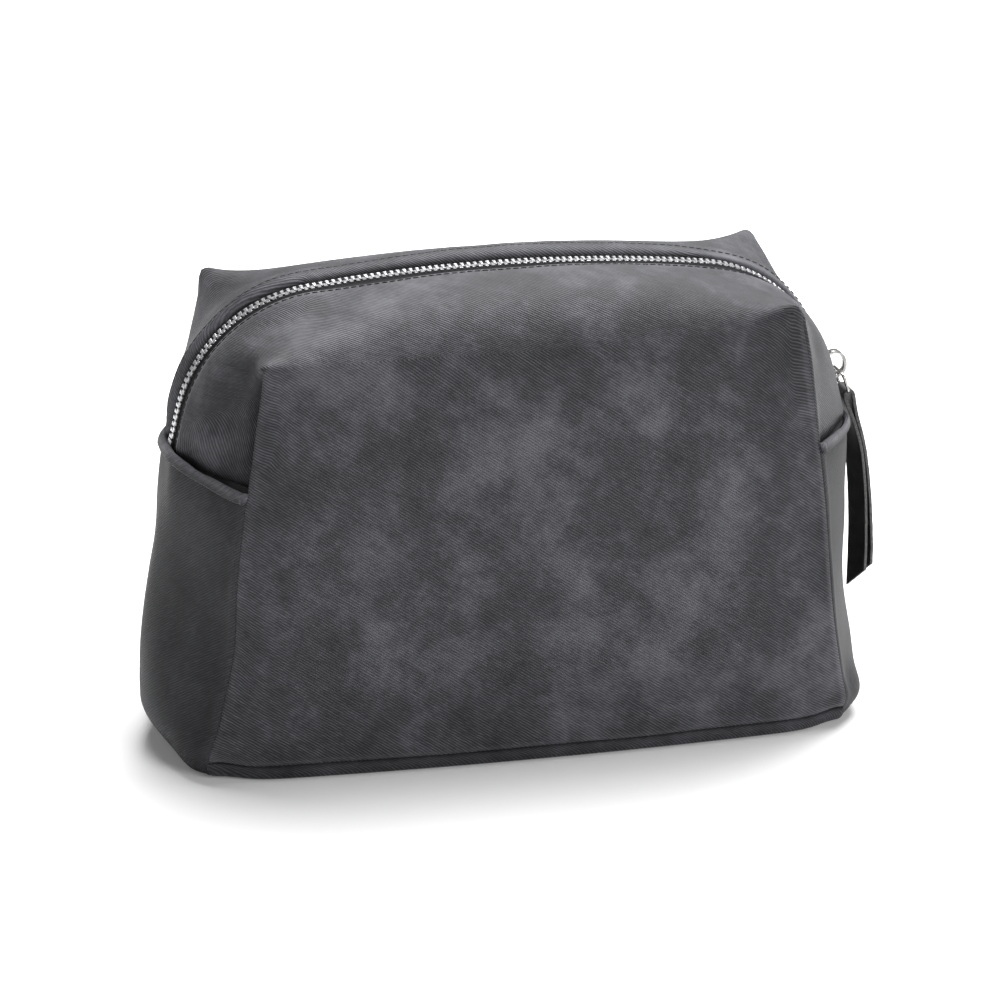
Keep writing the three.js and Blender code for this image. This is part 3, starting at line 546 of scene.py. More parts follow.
# Cross-section of the cloth edges folded under beside the zip: distance from the middle and height over
# the skin. The front one lies low beside the teeth, and the back one swells up behind them.
ZIP_FOLD = {
    -1: [(8.4, -3.2), (6.9, -3.2), (6.1, -2.9), (5.8, -2.4), (5.9, -1.8), (6.4, -1.35), (7.2, -1.1),
         (8.0, -1.05), (8.5, -1.25), (8.8, -1.3), (9.1, -1.15), (10, -0.75), (12, -0.3)],
    1: [(8.4, -3.0), (6.9, -3.0), (6.1, -2.6), (5.8, -1.9), (5.9, -1.1), (6.3, -0.3), (7.1, 0.6),
        (8.4, 1.4), (9.8, 1.9), (10.6, 1.9), (11.0, 1.6), (11.4, 1.85), (12.6, 1.9)],
}
ROOF_AWAY = np.linspace(0.28, 1, 17)
RIM_AWAY = np.array([0.28, 0.36, 0.44, 0.52, 0.6, 0.68, 0.75, 0.81, 0.86, 0.9, 0.93, 0.952, 0.968, 0.98, 0.988,
                     0.995, 1])
FACE_ROWS = 62


# Lines that the pieces are sewn along, and the same lines a millimetre over the cloth
STITCH_LINES = {}


def seam_curl(gap):
    """Height over the skin beside a seam: the cloth stands a little proud, then turns in to the stitches"""
    return 0.35 * np.exp(-((gap - 2) / 1.1) ** 2) - 0.5 * np.exp(-(gap / 0.7) ** 2)


def seam_wear_and_highlight(gap):
    """How rubbed the cloth is beside a seam, and how much painted highlight its proud edge gets"""
    return np.exp(-((gap - 1.1) / 0.8) ** 2)


def outward(line):
    """Normals of an outline that runs from the left side over the top to the right side"""
    along = np.gradient(line, axis=0)
    normal = np.stack([-along[:, 1], along[:, 0]], 1)
    return normal / np.linalg.norm(normal, axis=1, keepdims=True)


def upper_skin(facing, column_away):
    """Rows of the upper cloth from the zip's strip to the rim, a depth share for each column of each row"""
    rows = []
    for shares in column_away:
        lines = {share: upper_outline(share, facing) for share in set(shares)}
        line = np.array([lines[share][i] for i, share in enumerate(shares)])
        y = facing * shares * half_depth(line[:, 0], line[:, 1], facing)
        rows.append(np.stack([line[:, 0], y, line[:, 1]], 1))
    return np.array(rows)


def folded_in(upper, facing):
    """Folds the front left corner of the upper cloth in behind the face's edge"""
    if facing > 0:
        return upper
    z = upper[-1, :, 2]
    left = np.arange(upper.shape[1]) < EAR_COLUMN
    depth = lerp(0.25, 1, smooth(114, 148, z)) * (1 - smooth(153.5, 161, z)) * left
    gap = np.linalg.norm(upper - upper[-1], axis=-1)
    reach = lerp(15, 8, smooth(120, 158, z))
    valley = np.exp(-(gap / reach) ** 2)[..., None] * np.array([7, 2, 0])
    slot = np.exp(-(gap / 4.2) ** 2)[..., None] * np.array([11, 7, 0])
    return upper + (valley + slot) * depth[:, None]


def panel(facing, name):
    """Front or back panel: its face, its half of the roof and of the upper ends, in one cloth"""
    # Rows crowd together towards the seam on the sides, and lie evenly on the roof
    crowded = np.round(1 - smooth(EAR_COLUMN - 6, EAR_COLUMN - 0.5, FROM_END), 2)
    shares = lerp(ROOF_AWAY[:, None], RIM_AWAY[:, None], crowded)
    roof = upper_skin(facing, shares)
    flat = upper_outline(0, facing)
    out_2d = outward(flat)
    # The swell behind the zip runs out flatter to the right
    flatter = lerp(1, 0.3, smooth(45, 95, flat[:, 0])) if facing > 0 else np.ones(COLUMNS)
    fold_away = []
    for across, out in ZIP_FOLD[facing]:
        line = flat + out_2d * out * np.reshape(flatter if out > 0 else 1, (-1, 1))
        fold_away.append(np.stack([line[:, 0], np.full(COLUMNS, facing * across), line[:, 1]], 1))
    # The cloth rises from the low strip beside the zip, and sinks in at the seams and under the hems
    first_gap = np.linalg.norm(roof - np.array(fold_away)[-1], axis=-1)
    rise = ZIP_FOLD[facing][-1][1] * np.exp(-(first_gap / 8) ** 2) * flatter
    rim_gap = np.linalg.norm(roof - roof[-1], axis=-1)
    curl = seam_curl(rim_gap) * AT_SIDE
    roof = offset_out(roof[:, ::facing], (rise + curl)[:, ::facing])[:, ::facing]
    upper = np.concatenate([np.array(fold_away), roof])
    hem = hem_height(np.sign(upper[..., 0]), upper[..., 1])
    over_hem = upper[..., 2] - hem
    sunk = 2.6 * (1 - smooth(-4, 16, over_hem)) * (smooth(9, 20, -upper[..., 1]) if facing < 0 else 1)
    tuck = -(sunk + 2.4 * (1 - smooth(-4, 2, over_hem))) * AT_SIDE
    tuck[-len(roof):] *= 1 - 0.8 * np.exp(-(rim_gap / 5) ** 2)
    rim = upper[-1].copy()
    upper[..., 0] += np.sign(upper[..., 0]) * tuck
    upper = folded_in(upper, facing)
    row = 8 if facing < 0 else 10
    over = offset_out(upper[:, ::facing], np.ones(upper.shape[:2]))[:, ::facing]
    STITCH_LINES["zip", facing] = upper[row], over[row]
    behind = smooth(1, 7, EAR_COLUMN - FROM_END)
    upper[-1, :, 0] -= behind * SEAM_OVERLAP * np.sign(rim[:, 0])
    upper[-1, :, 1] -= behind * SEAM_GAP * facing
    span = slice(EAR_COLUMN, LAST_EAR + 1)
    # The weave runs on from the face over the roof, and level round the upright seams
    path = np.linalg.norm(np.diff(upper, axis=0), axis=2)[::-1].cumsum(axis=0)[::-1]
    path = np.concatenate([path, np.zeros((1, COLUMNS))])
    on_side = 1 - smooth(EAR_COLUMN - 6, EAR_COLUMN + 4, FROM_END)
    u = lerp(upper[..., 0], rim[:, 0] + path * np.sign(rim[:, 0]), on_side)
    column = np.arange(COLUMNS)
    v = lerp(np.interp(column, column[span], rim[span, 2]) + path, upper[..., 2], on_side)
    uv_upper = np.stack([-facing * u, v], -1)
    # The folds of cloth beside the zip are lighter on their tops: wear, and painted highlight
    fold_wear_and_highlight = np.array([0] * 5 + [0.3, 0.45, 0.3] + [0] * 5)[:, None] * np.ones(COLUMNS)
    upper_wear_and_highlight = np.concatenate([fold_wear_and_highlight, 0.12 * seam_wear_and_highlight(rim_gap) * AT_SIDE])

    top = rim[span]
    share = 2 * (top[:, 0] - top[0, 0]) / (top[-1, 0] - top[0, 0]) - 1
    t = np.concatenate([[0, 0.004, 0.009], np.linspace(0, 1, FACE_ROWS + 1)[1:]])[:, None]
    z = lerp(BASE_SEAM_HEIGHT, top[:, 2], t)
    # The face's upright edges meet the rims of the upper ends
    left_edge = lerp(corner_half_width(z, facing), np.interp(z, rim[:EAR_COLUMN + 1, 2], -rim[:EAR_COLUMN + 1, 0]),
                     smooth(TUCK_HEIGHT, 126, z))
    right_edge = lerp(corner_half_width(z, facing), np.interp(z, rim[:LAST_EAR - 1:-1, 2], rim[:LAST_EAR - 1:-1, 0]),
                      smooth(TUCK_HEIGHT, 126, z))
    x = lerp(-left_edge, right_edge, (share + 1) / 2)
    face = np.stack([x, facing * half_depth(x, z, facing), z], -1)
    edge = (1 - np.abs(share)) * corner_half_width(z, facing)
    fade = 1 - smooth(0.93, 1, t)
    face_curl = seam_curl(edge) * fade + seam_curl(z - BASE_SEAM_HEIGHT)
    # The face's upright edges and its edge at the base seam are lighter, the right edge most: wear, and painted
    # highlight where the right softbox catches the proud edges
    face_wear_and_highlight = np.maximum(np.where(share > 0, 0.3, 0.1) * seam_wear_and_highlight(edge) * fade,
                           0.35 * seam_wear_and_highlight(z - BASE_SEAM_HEIGHT))
    face = offset_out(face, face_curl * -facing)
    face[-1] = top
    uv_face = np.stack([-facing * x, z], -1)

    bm = bmesh.new()
    cloth_grid(bm, upper, uv_upper, upper_wear_and_highlight)
    cloth_grid(bm, face, uv_face, face_wear_and_highlight)
    bmesh.ops.remove_doubles(bm, verts=bm.verts, dist=WELD * MM)
    tips = [min(bm.verts, key=lambda vert: (vert.co / MM - Vector(rim[ear])).length)
            for ear in (EAR_COLUMN, LAST_EAR)]
    face_out(bm)
    settle(bm)
    roll_over(bm, facing, tips)
    return thickened(finished(bm, name, twill), CLOTH)


def roll_over(bm, facing, tips):
    """Rounds the roof over into the face, less and less towards the ears"""
    rounded = []
    for vert in bm.verts:
        x, y, z = vert.co / MM
        inside = corner_half_width(z, facing) - abs(x)
        if not vert.is_boundary and facing * y > 20 and z > 125 and inside > 0.5:
            near = min((vert.co - tip.co).length for tip in tips) / MM
            rounded.append((near, vert))
    for step in range(44):
        verts = [vert for near, vert in rounded if near > 2.2 + step * 0.45]
        bmesh.ops.smooth_vert(bm, verts=verts, factor=0.5, use_axis_x=True, use_axis_y=True, use_axis_z=True)


def unevenness(place):
    """How far the cloth stands off its even shape at a point in millimetres"""
    return noise.noise(Vector(place) / 38) * 0.9 + noise.noise(Vector(place) / 17) * 0.3


def settled(points, normal):
    return points + np.array([unevenness(point) for point in points])[:, None] * normal


def settle(bm):
    """Lets a finished cloth take the bag's dents and a slight unevenness"""
    co = np.array([v.co for v in bm.verts]) / MM
    moved = sagged(co)
    bm.normal_update()
    for vert, place in zip(bm.verts, moved):
        wave = unevenness(place)
        pinned = 0.25 if vert.is_boundary else 1
        vert.co = (Vector(place) + vert.normal * wave * pinned) * MM


def hem_height(side, y):
    """Height of an end panel's top hem at a depth: the left one falls to the front, the right one rises"""
    across = np.clip(np.abs(y) / 50, 0, 1)
    front = np.asarray(y, float) < 0
    left = 118.6 + np.where(front, 11.7 * across - 37.8 * across ** 2 + 21.7 * across ** 3, -2.5 * across ** 2)
    right = 114.6 + np.where(front, 2.8, 1) * across ** 2
    return np.where(np.asarray(side) < 0, left, right)


# Rows of an end panel under its hem: distance below the hem and height over the cloth
HEM_FOLD = [(3.5, -1.3), (0.5, -1.1), (0.05, -0.6), (0.0, 0.0), (0.2, 0.42), (0.7, 0.55), (1.7, 0.6), (2.2, 0.4),
            (2.5, -0.05), (2.8, -0.15), (3.1, -0.05), (3.7, 0.15), (6, 0.12), (9, 0)]
HALF_AWAY = [0, 0.06, 0.12, 0.18, 0.24, 0.3, 0.36, 0.42, 0.48, 0.54, 0.6, 0.66, 0.72, 0.78, 0.83, 0.875, 0.91,
             0.94, 0.96, 0.975, 0.986, 0.994, 1.0]
SIDE_AWAY = np.array([-a for a in HALF_AWAY[:0:-1]] + HALF_AWAY)


def side_point_rows(side, away, z):
    """Grid of points of an end of the bag: depth shares by columns, heights by rows"""
    facing = np.where(away < 0, -1, 1)
    x = np.where(facing < 0, side_half_width(np.abs(away), z, -1), side_half_width(np.abs(away), z, 1)) * side
    depth = np.where(facing < 0, half_depth(x, z, -1), half_depth(x, z, 1))
    return np.stack([x, away * depth, z], -1)


def side_panel(side, name):
    """End panel from the base seam up to its folded hem"""
    hem = hem_height(side, SIDE_AWAY * 50)
    rows = [np.full(SIDE_AWAY.shape, z) for z in (0.5, 0.3, 0.35, 0.6)]
    insets, outs, wear_and_highlight = [9, 6, 3.4, 1.4], [0, 0, 0, 0], [0, 0, 0, 0]
    # Rows up to the fold of the hem, closer together near the floor
    for share in np.linspace(0.012, 0.99, 46) ** 1.25:
        rows.append(share * (hem - 9.5))
        insets.append(0)
        outs.append(0)
        wear_and_highlight.append(0)
    for below, out in reversed(HEM_FOLD):
        rows.append(hem - below)
        insets.append(0)
        outs.append(out)
        # The folded top of the hem is lighter: wear, and painted highlight on the fold's upper edge
        wear_and_highlight.append(0.9 * math.exp(-((below - 0.5) / 0.5) ** 2))
    z = np.array(rows)
    points = side_point_rows(side, SIDE_AWAY, z)
    inset = np.array(insets)[:, None]
    points[..., 0] -= side * inset
    points[..., 1] *= 1 - inset / 90
    gap = (1 - np.abs(SIDE_AWAY)) * 52
    points = offset_out(points, (np.array(outs)[:, None] + seam_curl(gap) * (inset == 0)) * side)
    STITCH_LINES["hem", side] = points[-12], offset_out(points, np.full(points.shape[:2], side))[-12]
    # Both upright edges pass behind the faces
    points[:, [0, -1], 0] -= side * SEAM_OVERLAP
    points[:, 0, 1] += SEAM_GAP
    points[:, -1, 1] -= SEAM_GAP
    across = np.linalg.norm(np.diff(points, axis=1), axis=2).cumsum(axis=1)
    across = np.concatenate([np.zeros((len(z), 1)), across], 1)
    # The ends are cut so that their ribs rise to the front where those of the face fall
    uv = np.stack([-side * across, z], -1)
    bm = bmesh.new()
    cloth_grid(bm, points, uv, np.maximum(np.array(wear_and_highlight)[:, None], 0.15 * seam_wear_and_highlight(gap)))
    face_out(bm)
    settle(bm)
    return thickened(finished(bm, name, end_twill_painted_shade), CLOTH)


def plan_loop(z, out, out_at_ends=None):
    """Closed loop round the bag at a height, moved outwards by one distance on the faces and one at the ends"""
    right = side_point_rows(1, SIDE_AWAY, np.full((1, len(SIDE_AWAY)), float(z)))[0]
    left = side_point_rows(-1, SIDE_AWAY[::-1], np.full((1, len(SIDE_AWAY)), float(z)))[0]
    share = np.linspace(1, -1, 45)[1:-1]
    back_x = share * corner_half_width(z, 1)
    front_x = -share * corner_half_width(z, -1)
    back = np.stack([back_x, half_depth(back_x, z, 1), np.full(back_x.shape, z)], 1)
    face = np.stack([front_x, -half_depth(front_x, z, -1), np.full(front_x.shape, z)], 1)
    loop = sagged(np.concatenate([right, back, left, face]))
    along = np.roll(loop, -1, axis=0) - np.roll(loop, 1, axis=0)
    normal = np.stack([along[:, 1], -along[:, 0], np.zeros(len(loop))], 1)
    normal /= np.linalg.norm(normal, axis=1, keepdims=True)
    at_end = 1 - smooth(0.9, 1.0, np.abs(SIDE_AWAY))
    ends = np.concatenate([at_end, np.zeros(len(share)), at_end[::-1], np.zeros(len(share))])
    return loop + normal * lerp(out, out if out_at_ends is None else out_at_ends, ends)[:, None]


def bridged(bm, loops, close_first=False, close_last=False):
    """Skin over a row of closed loops of points in millimetres"""
    rings = []
    for loop in loops:
        verts = [bm.verts.new(Vector(point) * MM) for point in loop]
        rings.append([bm.edges.new((a, b)) for a, b in zip(verts, verts[1:] + verts[:1])])
    for low, high in zip(rings, rings[1:]):
        bmesh.ops.bridge_loops(bm, edges=low + high)
    if close_first:
        bmesh.ops.contextual_create(bm, geom=rings[0])
    if close_last:
        bmesh.ops.contextual_create(bm, geom=rings[-1])


# Cross-section of the rolled edge under the faces: height and how far it stands proud of the cloth. At the
# ends the base runs under the end panels.
BASE_ROLL = [(0, -9), (0, -3.2), (0.12, -1.6), (0.5, -0.5), (1.2, 0.35), (2.1, 0.8), (3.1, 0.95), (4.1, 0.8),
             (4.9, 0.4), (5.35, -0.3), (5.45, -1.2), (5.4, -2.2)]


def base_cloth():
    """Base cloth with its edge rolled up over the piping"""
    bm = bmesh.new()
    bridged(bm, [plan_loop(z, out, min(out - 1, -2.6)) for z, out in BASE_ROLL], close_first=True)
    face_out(bm)
    weave = bm.loops.layers.uv.new("weave")
    for face in bm.faces:
        for loop in face.loops:
            loop[weave].uv = loop.vert.co.x / MM, (loop.vert.co.y + loop.vert.co.z) / MM
    return thickened(finished(bm, "base_cloth", base_twill), BASE_CLOTH)


def board_plate():
    """Stiffener under the lining, its corners cut round"""
    bm = bmesh.new()
    bridged(bm, [plan_loop(z, out) for z, out in ((1.95, -4.5), (1.95, -3.4), (2.3, -3.0), (3.5, -3.0), (3.85, -3.4),
                                                  (3.85, -4.5))], close_first=True, close_last=True)
    bmesh.ops.recalc_face_normals(bm, faces=bm.faces)
    return finished(bm, "stiffening_board", board_fibre, smooth_shade=False)


LINING_DEPTH = 3.1


def lining_tub():
    """Lining of the lower part: its floor lies on the board and its walls end at the mouth"""
    bm = bmesh.new()
    loops = [plan_loop(5.2, -18), plan_loop(5.2, -9), plan_loop(5.4, -6), plan_loop(6.2, -4.4), plan_loop(8, -3.6)]
    loops += [plan_loop(z, -LINING_DEPTH) for z in np.linspace(14, 115.8, 12)]
    bridged(bm, loops, close_first=True)
    face_out(bm)
    return thickened(finished(bm, "tub_lining", lining_cloth), LINING, rounded=False)


def upper_lining(facing, name):
    """Lining of one side of the mouth, sewn to the zip tape and open towards the tub"""
    shares = np.broadcast_to(np.linspace(0.165, 1, 13)[:, None], (13, COLUMNS))
    upper = upper_skin(facing, np.round(shares, 3))
    upper[..., 2] = np.maximum(upper[..., 2], HEM_HEIGHT + 0.3)
    hem = hem_height(np.sign(upper[..., 0]), upper[..., 1])
    upper[..., 0] -= np.sign(upper[..., 0]) * 3 * (1 - smooth(-4, 16, upper[..., 2] - hem)) * AT_SIDE
    upper = folded_in(upper, facing)
    upper = offset_out(upper[:, ::facing], np.full(upper.shape[:2], -LINING_DEPTH))[:, ::facing]
    rim = upper[-1, EAR_COLUMN:LAST_EAR + 1]
    share = 2 * (rim[:, 0] - rim[0, 0]) / (rim[-1, 0] - rim[0, 0]) - 1
    t = np.linspace(0, 1, 14)[:, None]
    z = lerp(HEM_HEIGHT + 0.3, rim[:, 2], t)
    x = lerp(share * (corner_half_width(z, facing) - LINING_DEPTH), rim[:, 0], t ** 3)
    y = lerp(half_depth(x, z, facing) - LINING_DEPTH, facing * rim[:, 1], t ** 6)
    face = np.stack([x, facing * y, z], -1)
    face[-1] = rim
    bm = bmesh.new()
    cloth_grid(bm, upper, upper[..., :2])
    cloth_grid(bm, face, face[..., ::2])
    bmesh.ops.remove_doubles(bm, verts=bm.verts, dist=WELD * MM)
    for vert in bm.verts:
        vert.co = Vector(sagged(np.array(vert.co) / MM)) * MM
    face_out(bm)
    return thickened(finished(bm, name, lining_cloth), LINING, rounded=False)


def zip_runs():
    """Runs of the zip's line: a straight side, a corner arc, the flat top arc, and the same on the left"""
    radius = ARCH_RADIUS - BEAD_DEPTH
    top_radius = ARCH["top_radius"] - BEAD_DEPTH
    side_top = ARCH["centre"][1] + radius * math.sin(ARCH_LEAN)
    side = (side_top - HEM_HEIGHT) / math.cos(ARCH_LEAN)
    left_centre = ARCH["centre"] * [-1, 1]
    top_centre = np.array([0, ARCH_APEX - ARCH["top_radius"]])
    turn = ARCH["turn"]
    return [dict(zip(("centre", "radius", "angle", "turn", "length", "lead"), run)) for run in (
        (ARCH["centre"], radius, ARCH_LEAN, 0, side, -side),
        (ARCH["centre"], radius, ARCH_LEAN, turn, radius * turn, 0),
        (top_centre, top_radius, math.pi / 2 - ARCH_SLOPE, 2 * ARCH_SLOPE, 2 * ARCH_SLOPE * top_radius, 0),
        (left_centre, radius, math.pi / 2 + ARCH_SLOPE, turn, radius * turn, 0),
        (left_centre, radius, math.pi - ARCH_LEAN, 0, side, 0))]


ZIP_RUNS = zip_runs()
ZIP_LENGTH = sum(run["length"] for run in ZIP_RUNS)
SLIDER_AT = ZIP_RUNS[0]["length"]


def on_zip(distance):
    """Point and outward direction of the zip's line in the XZ plane, from the right hem on"""
    before = 0
    for run in ZIP_RUNS:
        if distance <= before + run["length"] or run is ZIP_RUNS[-1]:
            break
        before += run["length"]
    local = distance - before
    angle = run["angle"] + (run["turn"] * local / run["length"] if run["turn"] else 0)
    out = np.array([math.cos(angle), math.sin(angle)])
    point = run["centre"] + out * run["radius"]
    if not run["turn"]:
        point = point + np.array([-out[1], out[0]]) * (local + run["lead"])
    return point, out


def row_parting(distance):
    """How far each row of teeth stands off the middle: they part below the slider"""
    return ROW_PARTING * (1 - float(smooth(SLIDER_AT - SLIDER_LENGTH / 2, SLIDER_AT + 1, distance)))


def beside_zip(distance, facing, across, out):
    """Point in millimetres at a distance along the zip, across it and out from the line of its beads"""
    point, away = on_zip(distance)
    point = point + away * out
    return Vector((point[0], facing * (across + row_parting(distance)), point[1]))


def zip_places(step):
    return np.linspace(0, ZIP_LENGTH, int(ZIP_LENGTH / step))


# Cross-section of a tape: its cord stands between the teeth's heels, and the woven web runs out flat
TAPE_SECTION = [(2.3, -0.5), (2.3, 0.5), (2.75, 0.85), (3.25, 0.6), (3.6, 0.3), (6, 0.25), (12.6, 0.25), (13, 0),
                (12.6, -0.3), (6, -0.35), (3.6, -0.35), (3.25, -0.6), (2.75, -0.8)]


def zip_tape(facing, name):
    bm = bmesh.new()
    loops = []
    for distance in zip_places(2.5):
        # The web is cut narrower where it goes under the hems
        web = float(lerp(0.25, 1, smooth(2, 24, min(distance, ZIP_LENGTH - distance))))
        loops.append([beside_zip(distance, facing, across if across < 6 else 6 + (across - 6) * web, out)
                      for across, out in TAPE_SECTION])
    bridged(bm, loops, close_first=True, close_last=True)
    bmesh.ops.recalc_face_normals(bm, faces=bm.faces)
    return finished(bm, name, tape_weave)


def repeated(pattern, places):
    """One bmesh with a copy of a small mesh at each of the places, which are matrices in millimetres"""
    small = bpy.data.meshes.new("pattern")
    pattern.to_mesh(small)
    pattern.free()
    bm = bmesh.new()
    for place in places:
        before = len(bm.verts)
        bm.from_mesh(small)
        bm.verts.ensure_lookup_table()
        bmesh.ops.transform(bm, matrix=Matrix.Scale(MM, 4) @ place, verts=bm.verts[before:])
    bpy.data.meshes.remove(small)
    bmesh.ops.recalc_face_normals(bm, faces=bm.faces)
    return bm


def zip_frame(distance, facing):
    """Place on the zip: X across it away from the middle, Y along it and Z out of the bag"""
    point, away = on_zip(distance)
    origin = beside_zip(distance, facing, 0, 0)
    return Matrix(((0, -away[1], away[0], origin.x),
                   (facing, 0, 0, origin.y),
                   (0, away[0], away[1], origin.z),
                   (0, 0, 0, 1)))


def zip_row(facing, name):
    """Row of stamped metal teeth: a heel clamped on the cord and a domed head that narrows to its nib"""
    tooth = bmesh.new()
    bmesh.ops.create_cube(tooth, size=1)
    for vert in tooth.verts:
        heel = vert.co.x > 0
        vert.co.y *= 1.6 if heel else 1.15
        vert.co.z *= 2.6 if heel else 2.1
        vert.co.x = 2.95 if heel else -0.75
    bmesh.ops.bevel(tooth, geom=tooth.edges[:], offset=0.2, segments=1, profile=0.5, affect="EDGES", material=-1)
    first = 5 + (TOOTH_PITCH / 2 if facing > 0 else 0)
    count = int((ZIP_LENGTH - 5 - first) / TOOTH_PITCH) + 1
    bm = repeated(tooth, [zip_frame(first + i * TOOTH_PITCH, facing) for i in range(count)])
    return finished(bm, name, tooth_nickel, smooth_shade=False)


def stitch_pattern(length, width):
    """One stitch: a short twisted thread that dips at both ends"""
    stitch = bmesh.new()
    bmesh.ops.create_uvsphere(stitch, u_segments=6, v_segments=5, radius=0.5,
                              matrix=Matrix.Rotation(math.pi / 2, 4, "X"))
    bmesh.ops.scale(stitch, vec=(width, length, width * 0.8), verts=stitch.verts)
    return stitch


def stitches(line, name, material, length, width, skip):
    """Row of stitches along one of the sewn lines, which leaves out both of its ends"""
    points, over = STITCH_LINES[line]
    normal = over - points
    points = settled(sagged(points), normal) + normal * 0.25
    along = np.linalg.norm(np.diff(points, axis=0), axis=1)
    along = np.concatenate([[0], np.cumsum(along)])
    places = []
    for distance in np.arange(skip, along[-1] - skip, length * 1.25):
        at, after, up = ([np.interp(distance + step, along, values[:, axis]) for axis in range(3)]
                         for step, values in ((0, points), (1, points), (0, normal)))
        y_axis = (Vector(after) - Vector(at)).normalized()
        x_axis = y_axis.cross(Vector(up)).normalized()
        z_axis = x_axis.cross(y_axis)
        place = Matrix((x_axis, y_axis, z_axis)).transposed().to_4x4()
        place.translation = at
        places.append(place)
    bm = repeated(stitch_pattern(length, width), places)
    return finished(bm, name, material)


def polished(node_name, name, edge_round_mm):
    """Copy of a metal CAD piece with its edges rounded as tumbling leaves them"""
    bm = bmesh.new()
    bm.from_mesh(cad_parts[node_name].data)
    bmesh.ops.remove_doubles(bm, verts=bm.verts, dist=METAL_WELD * MM)
    bmesh.ops.dissolve_limit(bm, angle_limit=math.radians(2), verts=bm.verts, edges=bm.edges)
    sharp = [e for e in bm.edges if len(e.link_faces) == 2 and e.calc_face_angle() > math.radians(40)]
    bmesh.ops.bevel(bm, geom=sharp, offset=edge_round_mm * MM, segments=2, profile=0.5, affect="EDGES",
                    material=-1, clamp_overlap=True)
    bmesh.ops.recalc_face_normals(bm, faces=bm.faces)
    obj = finished(bm, name, nickel)
    obj.data.set_sharp_from_angle(angle=math.radians(45))
    return obj


# The pull ring: where it hangs, how it leans, and the middle line of its wire
RING_AT = (133.967, 129.678)
RING_LEAN = math.radians(20)
RING_WIRE = 0.65
RING_HALF_WIDTH = 6.15
RING_LENGTH = 9.7
RING_CORNER = 2.3


def ring():
    """Wire ring, bent to a rounded rectangle and butted"""
    centres = []
    reach, top, low = RING_HALF_WIDTH - RING_CORNER, -RING_CORNER, 2 * RING_WIRE - RING_LENGTH + RING_CORNER
    for y, z, first in ((reach, top, 90), (reach, low, 0), (-reach, low, -90), (-reach, top, 180)):
        for step in range(9):
            angle = math.radians(first - step * 11.25)
            centres.append((y + RING_CORNER * math.cos(angle), z + RING_CORNER * math.sin(angle)))
    lean = Matrix.Rotation(-RING_LEAN, 4, "Y")
    loops = []
    count = len(centres)
    for i, (y, z) in enumerate(centres):
        before, after = centres[i - 1], centres[(i + 1) % count]
        along = Vector((0, after[0] - before[0], after[1] - before[1])).normalized()
        side = Vector((1, 0, 0))
        out = along.cross(side)
        loop = []
        for k in range(10):
            a = 2 * math.pi * k / 10
            point = Vector((0, y, z)) + (side * math.cos(a) + out * math.sin(a)) * RING_WIRE
            loop.append(Vector((RING_AT[0], 0, RING_AT[1])) + lean @ point)
        loops.append(loop)
    bm = bmesh.new()
    bridged(bm, loops + [loops[0]])
    bmesh.ops.remove_doubles(bm, verts=bm.verts, dist=METAL_WELD * MM)
    bmesh.ops.recalc_face_normals(bm, faces=bm.faces)
    obj = finished(bm, "wire_ring", nickel)
    add_modifier(obj, "SUBSURF", levels=1, render_levels=1)
    return obj


# The leather strip: the bar it hangs over, its size and the line of its tails
STRIP_AT = (137.285, 120.56)
STRIP_WIDTH = 10.4
STRIP_THICKNESS = 1.4
STRIP_TURN = 1.72
STRIP_BOW = [(0, 0), (9.5, -34), (9.1, -78)]
STRIP_TWIST = math.radians(22)


def strip_line(t):
    """Point and outward normal of the middle line between the two tails"""
    a, b, c = (np.array(point, float) for point in STRIP_BOW)
    along = 2 * (1 - t) * (b - a) + 2 * t * (c - b)
    along /= np.linalg.norm(along)
    return (1 - t) ** 2 * a + 2 * (1 - t) * t * b + t ** 2 * c, np.array([-along[1], along[0]])


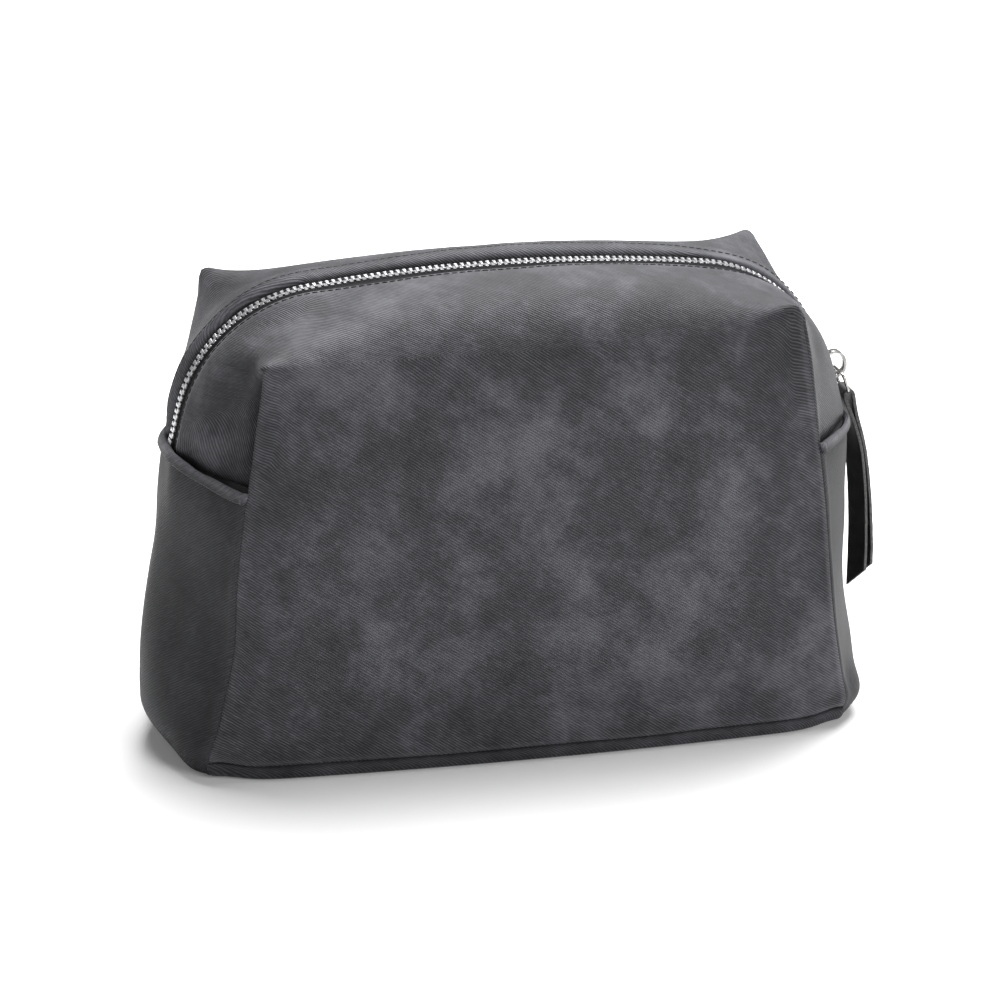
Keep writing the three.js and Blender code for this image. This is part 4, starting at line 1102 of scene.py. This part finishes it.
def leather_strip():
    """Strip folded over the ring: its two tails part, twist a little and end in a slanting cut"""
    steps = np.linspace(0.01, 1, 40)
    turn = np.linspace(180, 0, 9)[1:-1]
    rows = [(t, -1) for t in steps[::-1]] + [(angle, 0) for angle in turn] + [(t, 1) for t in steps]
    grid = []
    for value, tail in rows:
        row = []
        for share in np.linspace(-0.5, 0.5, 9):
            if tail:
                centre, normal = strip_line(value)
                middle = centre[0]
                gap = STRIP_TURN - 0.85 * float(smooth(0, 0.16, value)) + 0.75 * float(smooth(0.3, 1, value))
                point = centre + normal * gap * tail
                point[1] += smooth(0.75, 1, value) * (-9.5 * share + tail)
            else:
                middle = 0
                turned = math.radians(value)
                point = np.array([math.cos(turned), math.sin(turned)]) * STRIP_TURN
            depth = -point[1]
            twist = STRIP_TWIST * float(smooth(2, 26, depth))
            ragged = noise.noise(Vector((share * 9, depth * 0.9, tail * 5))) * 0.16 * (abs(share) == 0.5)
            x, y = point[0] - middle, share * STRIP_WIDTH + ragged
            row.append((STRIP_AT[0] + middle + x * math.cos(twist) - y * math.sin(twist),
                        x * math.sin(twist) + y * math.cos(twist), STRIP_AT[1] + point[1]))
        grid.append(row)
    grid = np.array(grid)
    bm = bmesh.new()
    cloth_grid(bm, grid, grid[..., 1:])
    bmesh.ops.recalc_face_normals(bm, faces=bm.faces)
    obj = finished(bm, "leather_strip", leather_face)
    obj.data.materials.append(leather_edge)
    add_modifier(obj, "SOLIDIFY", thickness=STRIP_THICKNESS * MM, offset=0, material_offset_rim=1)
    add_modifier(obj, "BEVEL", width=0.18 * MM, segments=2, limit_method="ANGLE", angle_limit=math.radians(50))
    return obj


make_camera()
make_stage()
front = panel(-1, "front_cloth")
back = panel(1, "back_cloth")
left_end = side_panel(-1, "left_end_cloth")
right_end = side_panel(1, "right_end_cloth")
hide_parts("front_panel_lower", "front_panel_upper")
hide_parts("back_panel_lower", "back_panel_upper")
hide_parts("side_panel_left")
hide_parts("side_panel_right")
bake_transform(front)
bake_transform(back)
base = base_cloth()
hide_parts("base_panel")
board = board_plate()
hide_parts("base_board")
tub = lining_tub()
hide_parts("lining_tub")
left_thread = stitches(("hem", -1), "left_hem_thread", thread_twist, 2.4, 1.0, 4)
right_thread = stitches(("hem", 1), "right_hem_thread", thread_twist, 2.4, 1.0, 4)
for piece in (left_end, right_end, base, board, tub, left_thread, right_thread):
    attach(piece, "bag_base")
for facing, side in ((-1, "front"), (1, "back")):
    lining = upper_lining(facing, side + "_lining")
    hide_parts("lining_" + side)
    tape = zip_tape(facing, side + "_tape")
    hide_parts("zip_tape_" + side)
    teeth = zip_row(facing, side + "_teeth")
    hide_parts("zip_teeth_" + side)
    # The back zip stitches get the lighter thread as painted highlight on the ridge of the back fold
    twist = thread_twist if facing < 0 else highlit_thread
    thread = stitches(("zip", facing), side + "_zip_thread", twist, 2.4, 0.6, 14)
    for piece in (lining, tape, teeth, thread):
        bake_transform(piece)
slider = polished("slider_body", "zip_slider", 0.16)
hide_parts("slider_body")
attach(slider, "slider")
pull_ring = ring()
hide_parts("pull_ring")
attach(pull_ring, "ring")
strip = leather_strip()
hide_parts("leather_pull")
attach(strip, "pull")
for stop in ("top_stop_front", "top_stop_back", "bottom_stop"):
    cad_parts[stop].data.materials[0] = tooth_nickel

bpy.context.scene.view_settings.view_transform = "Standard"
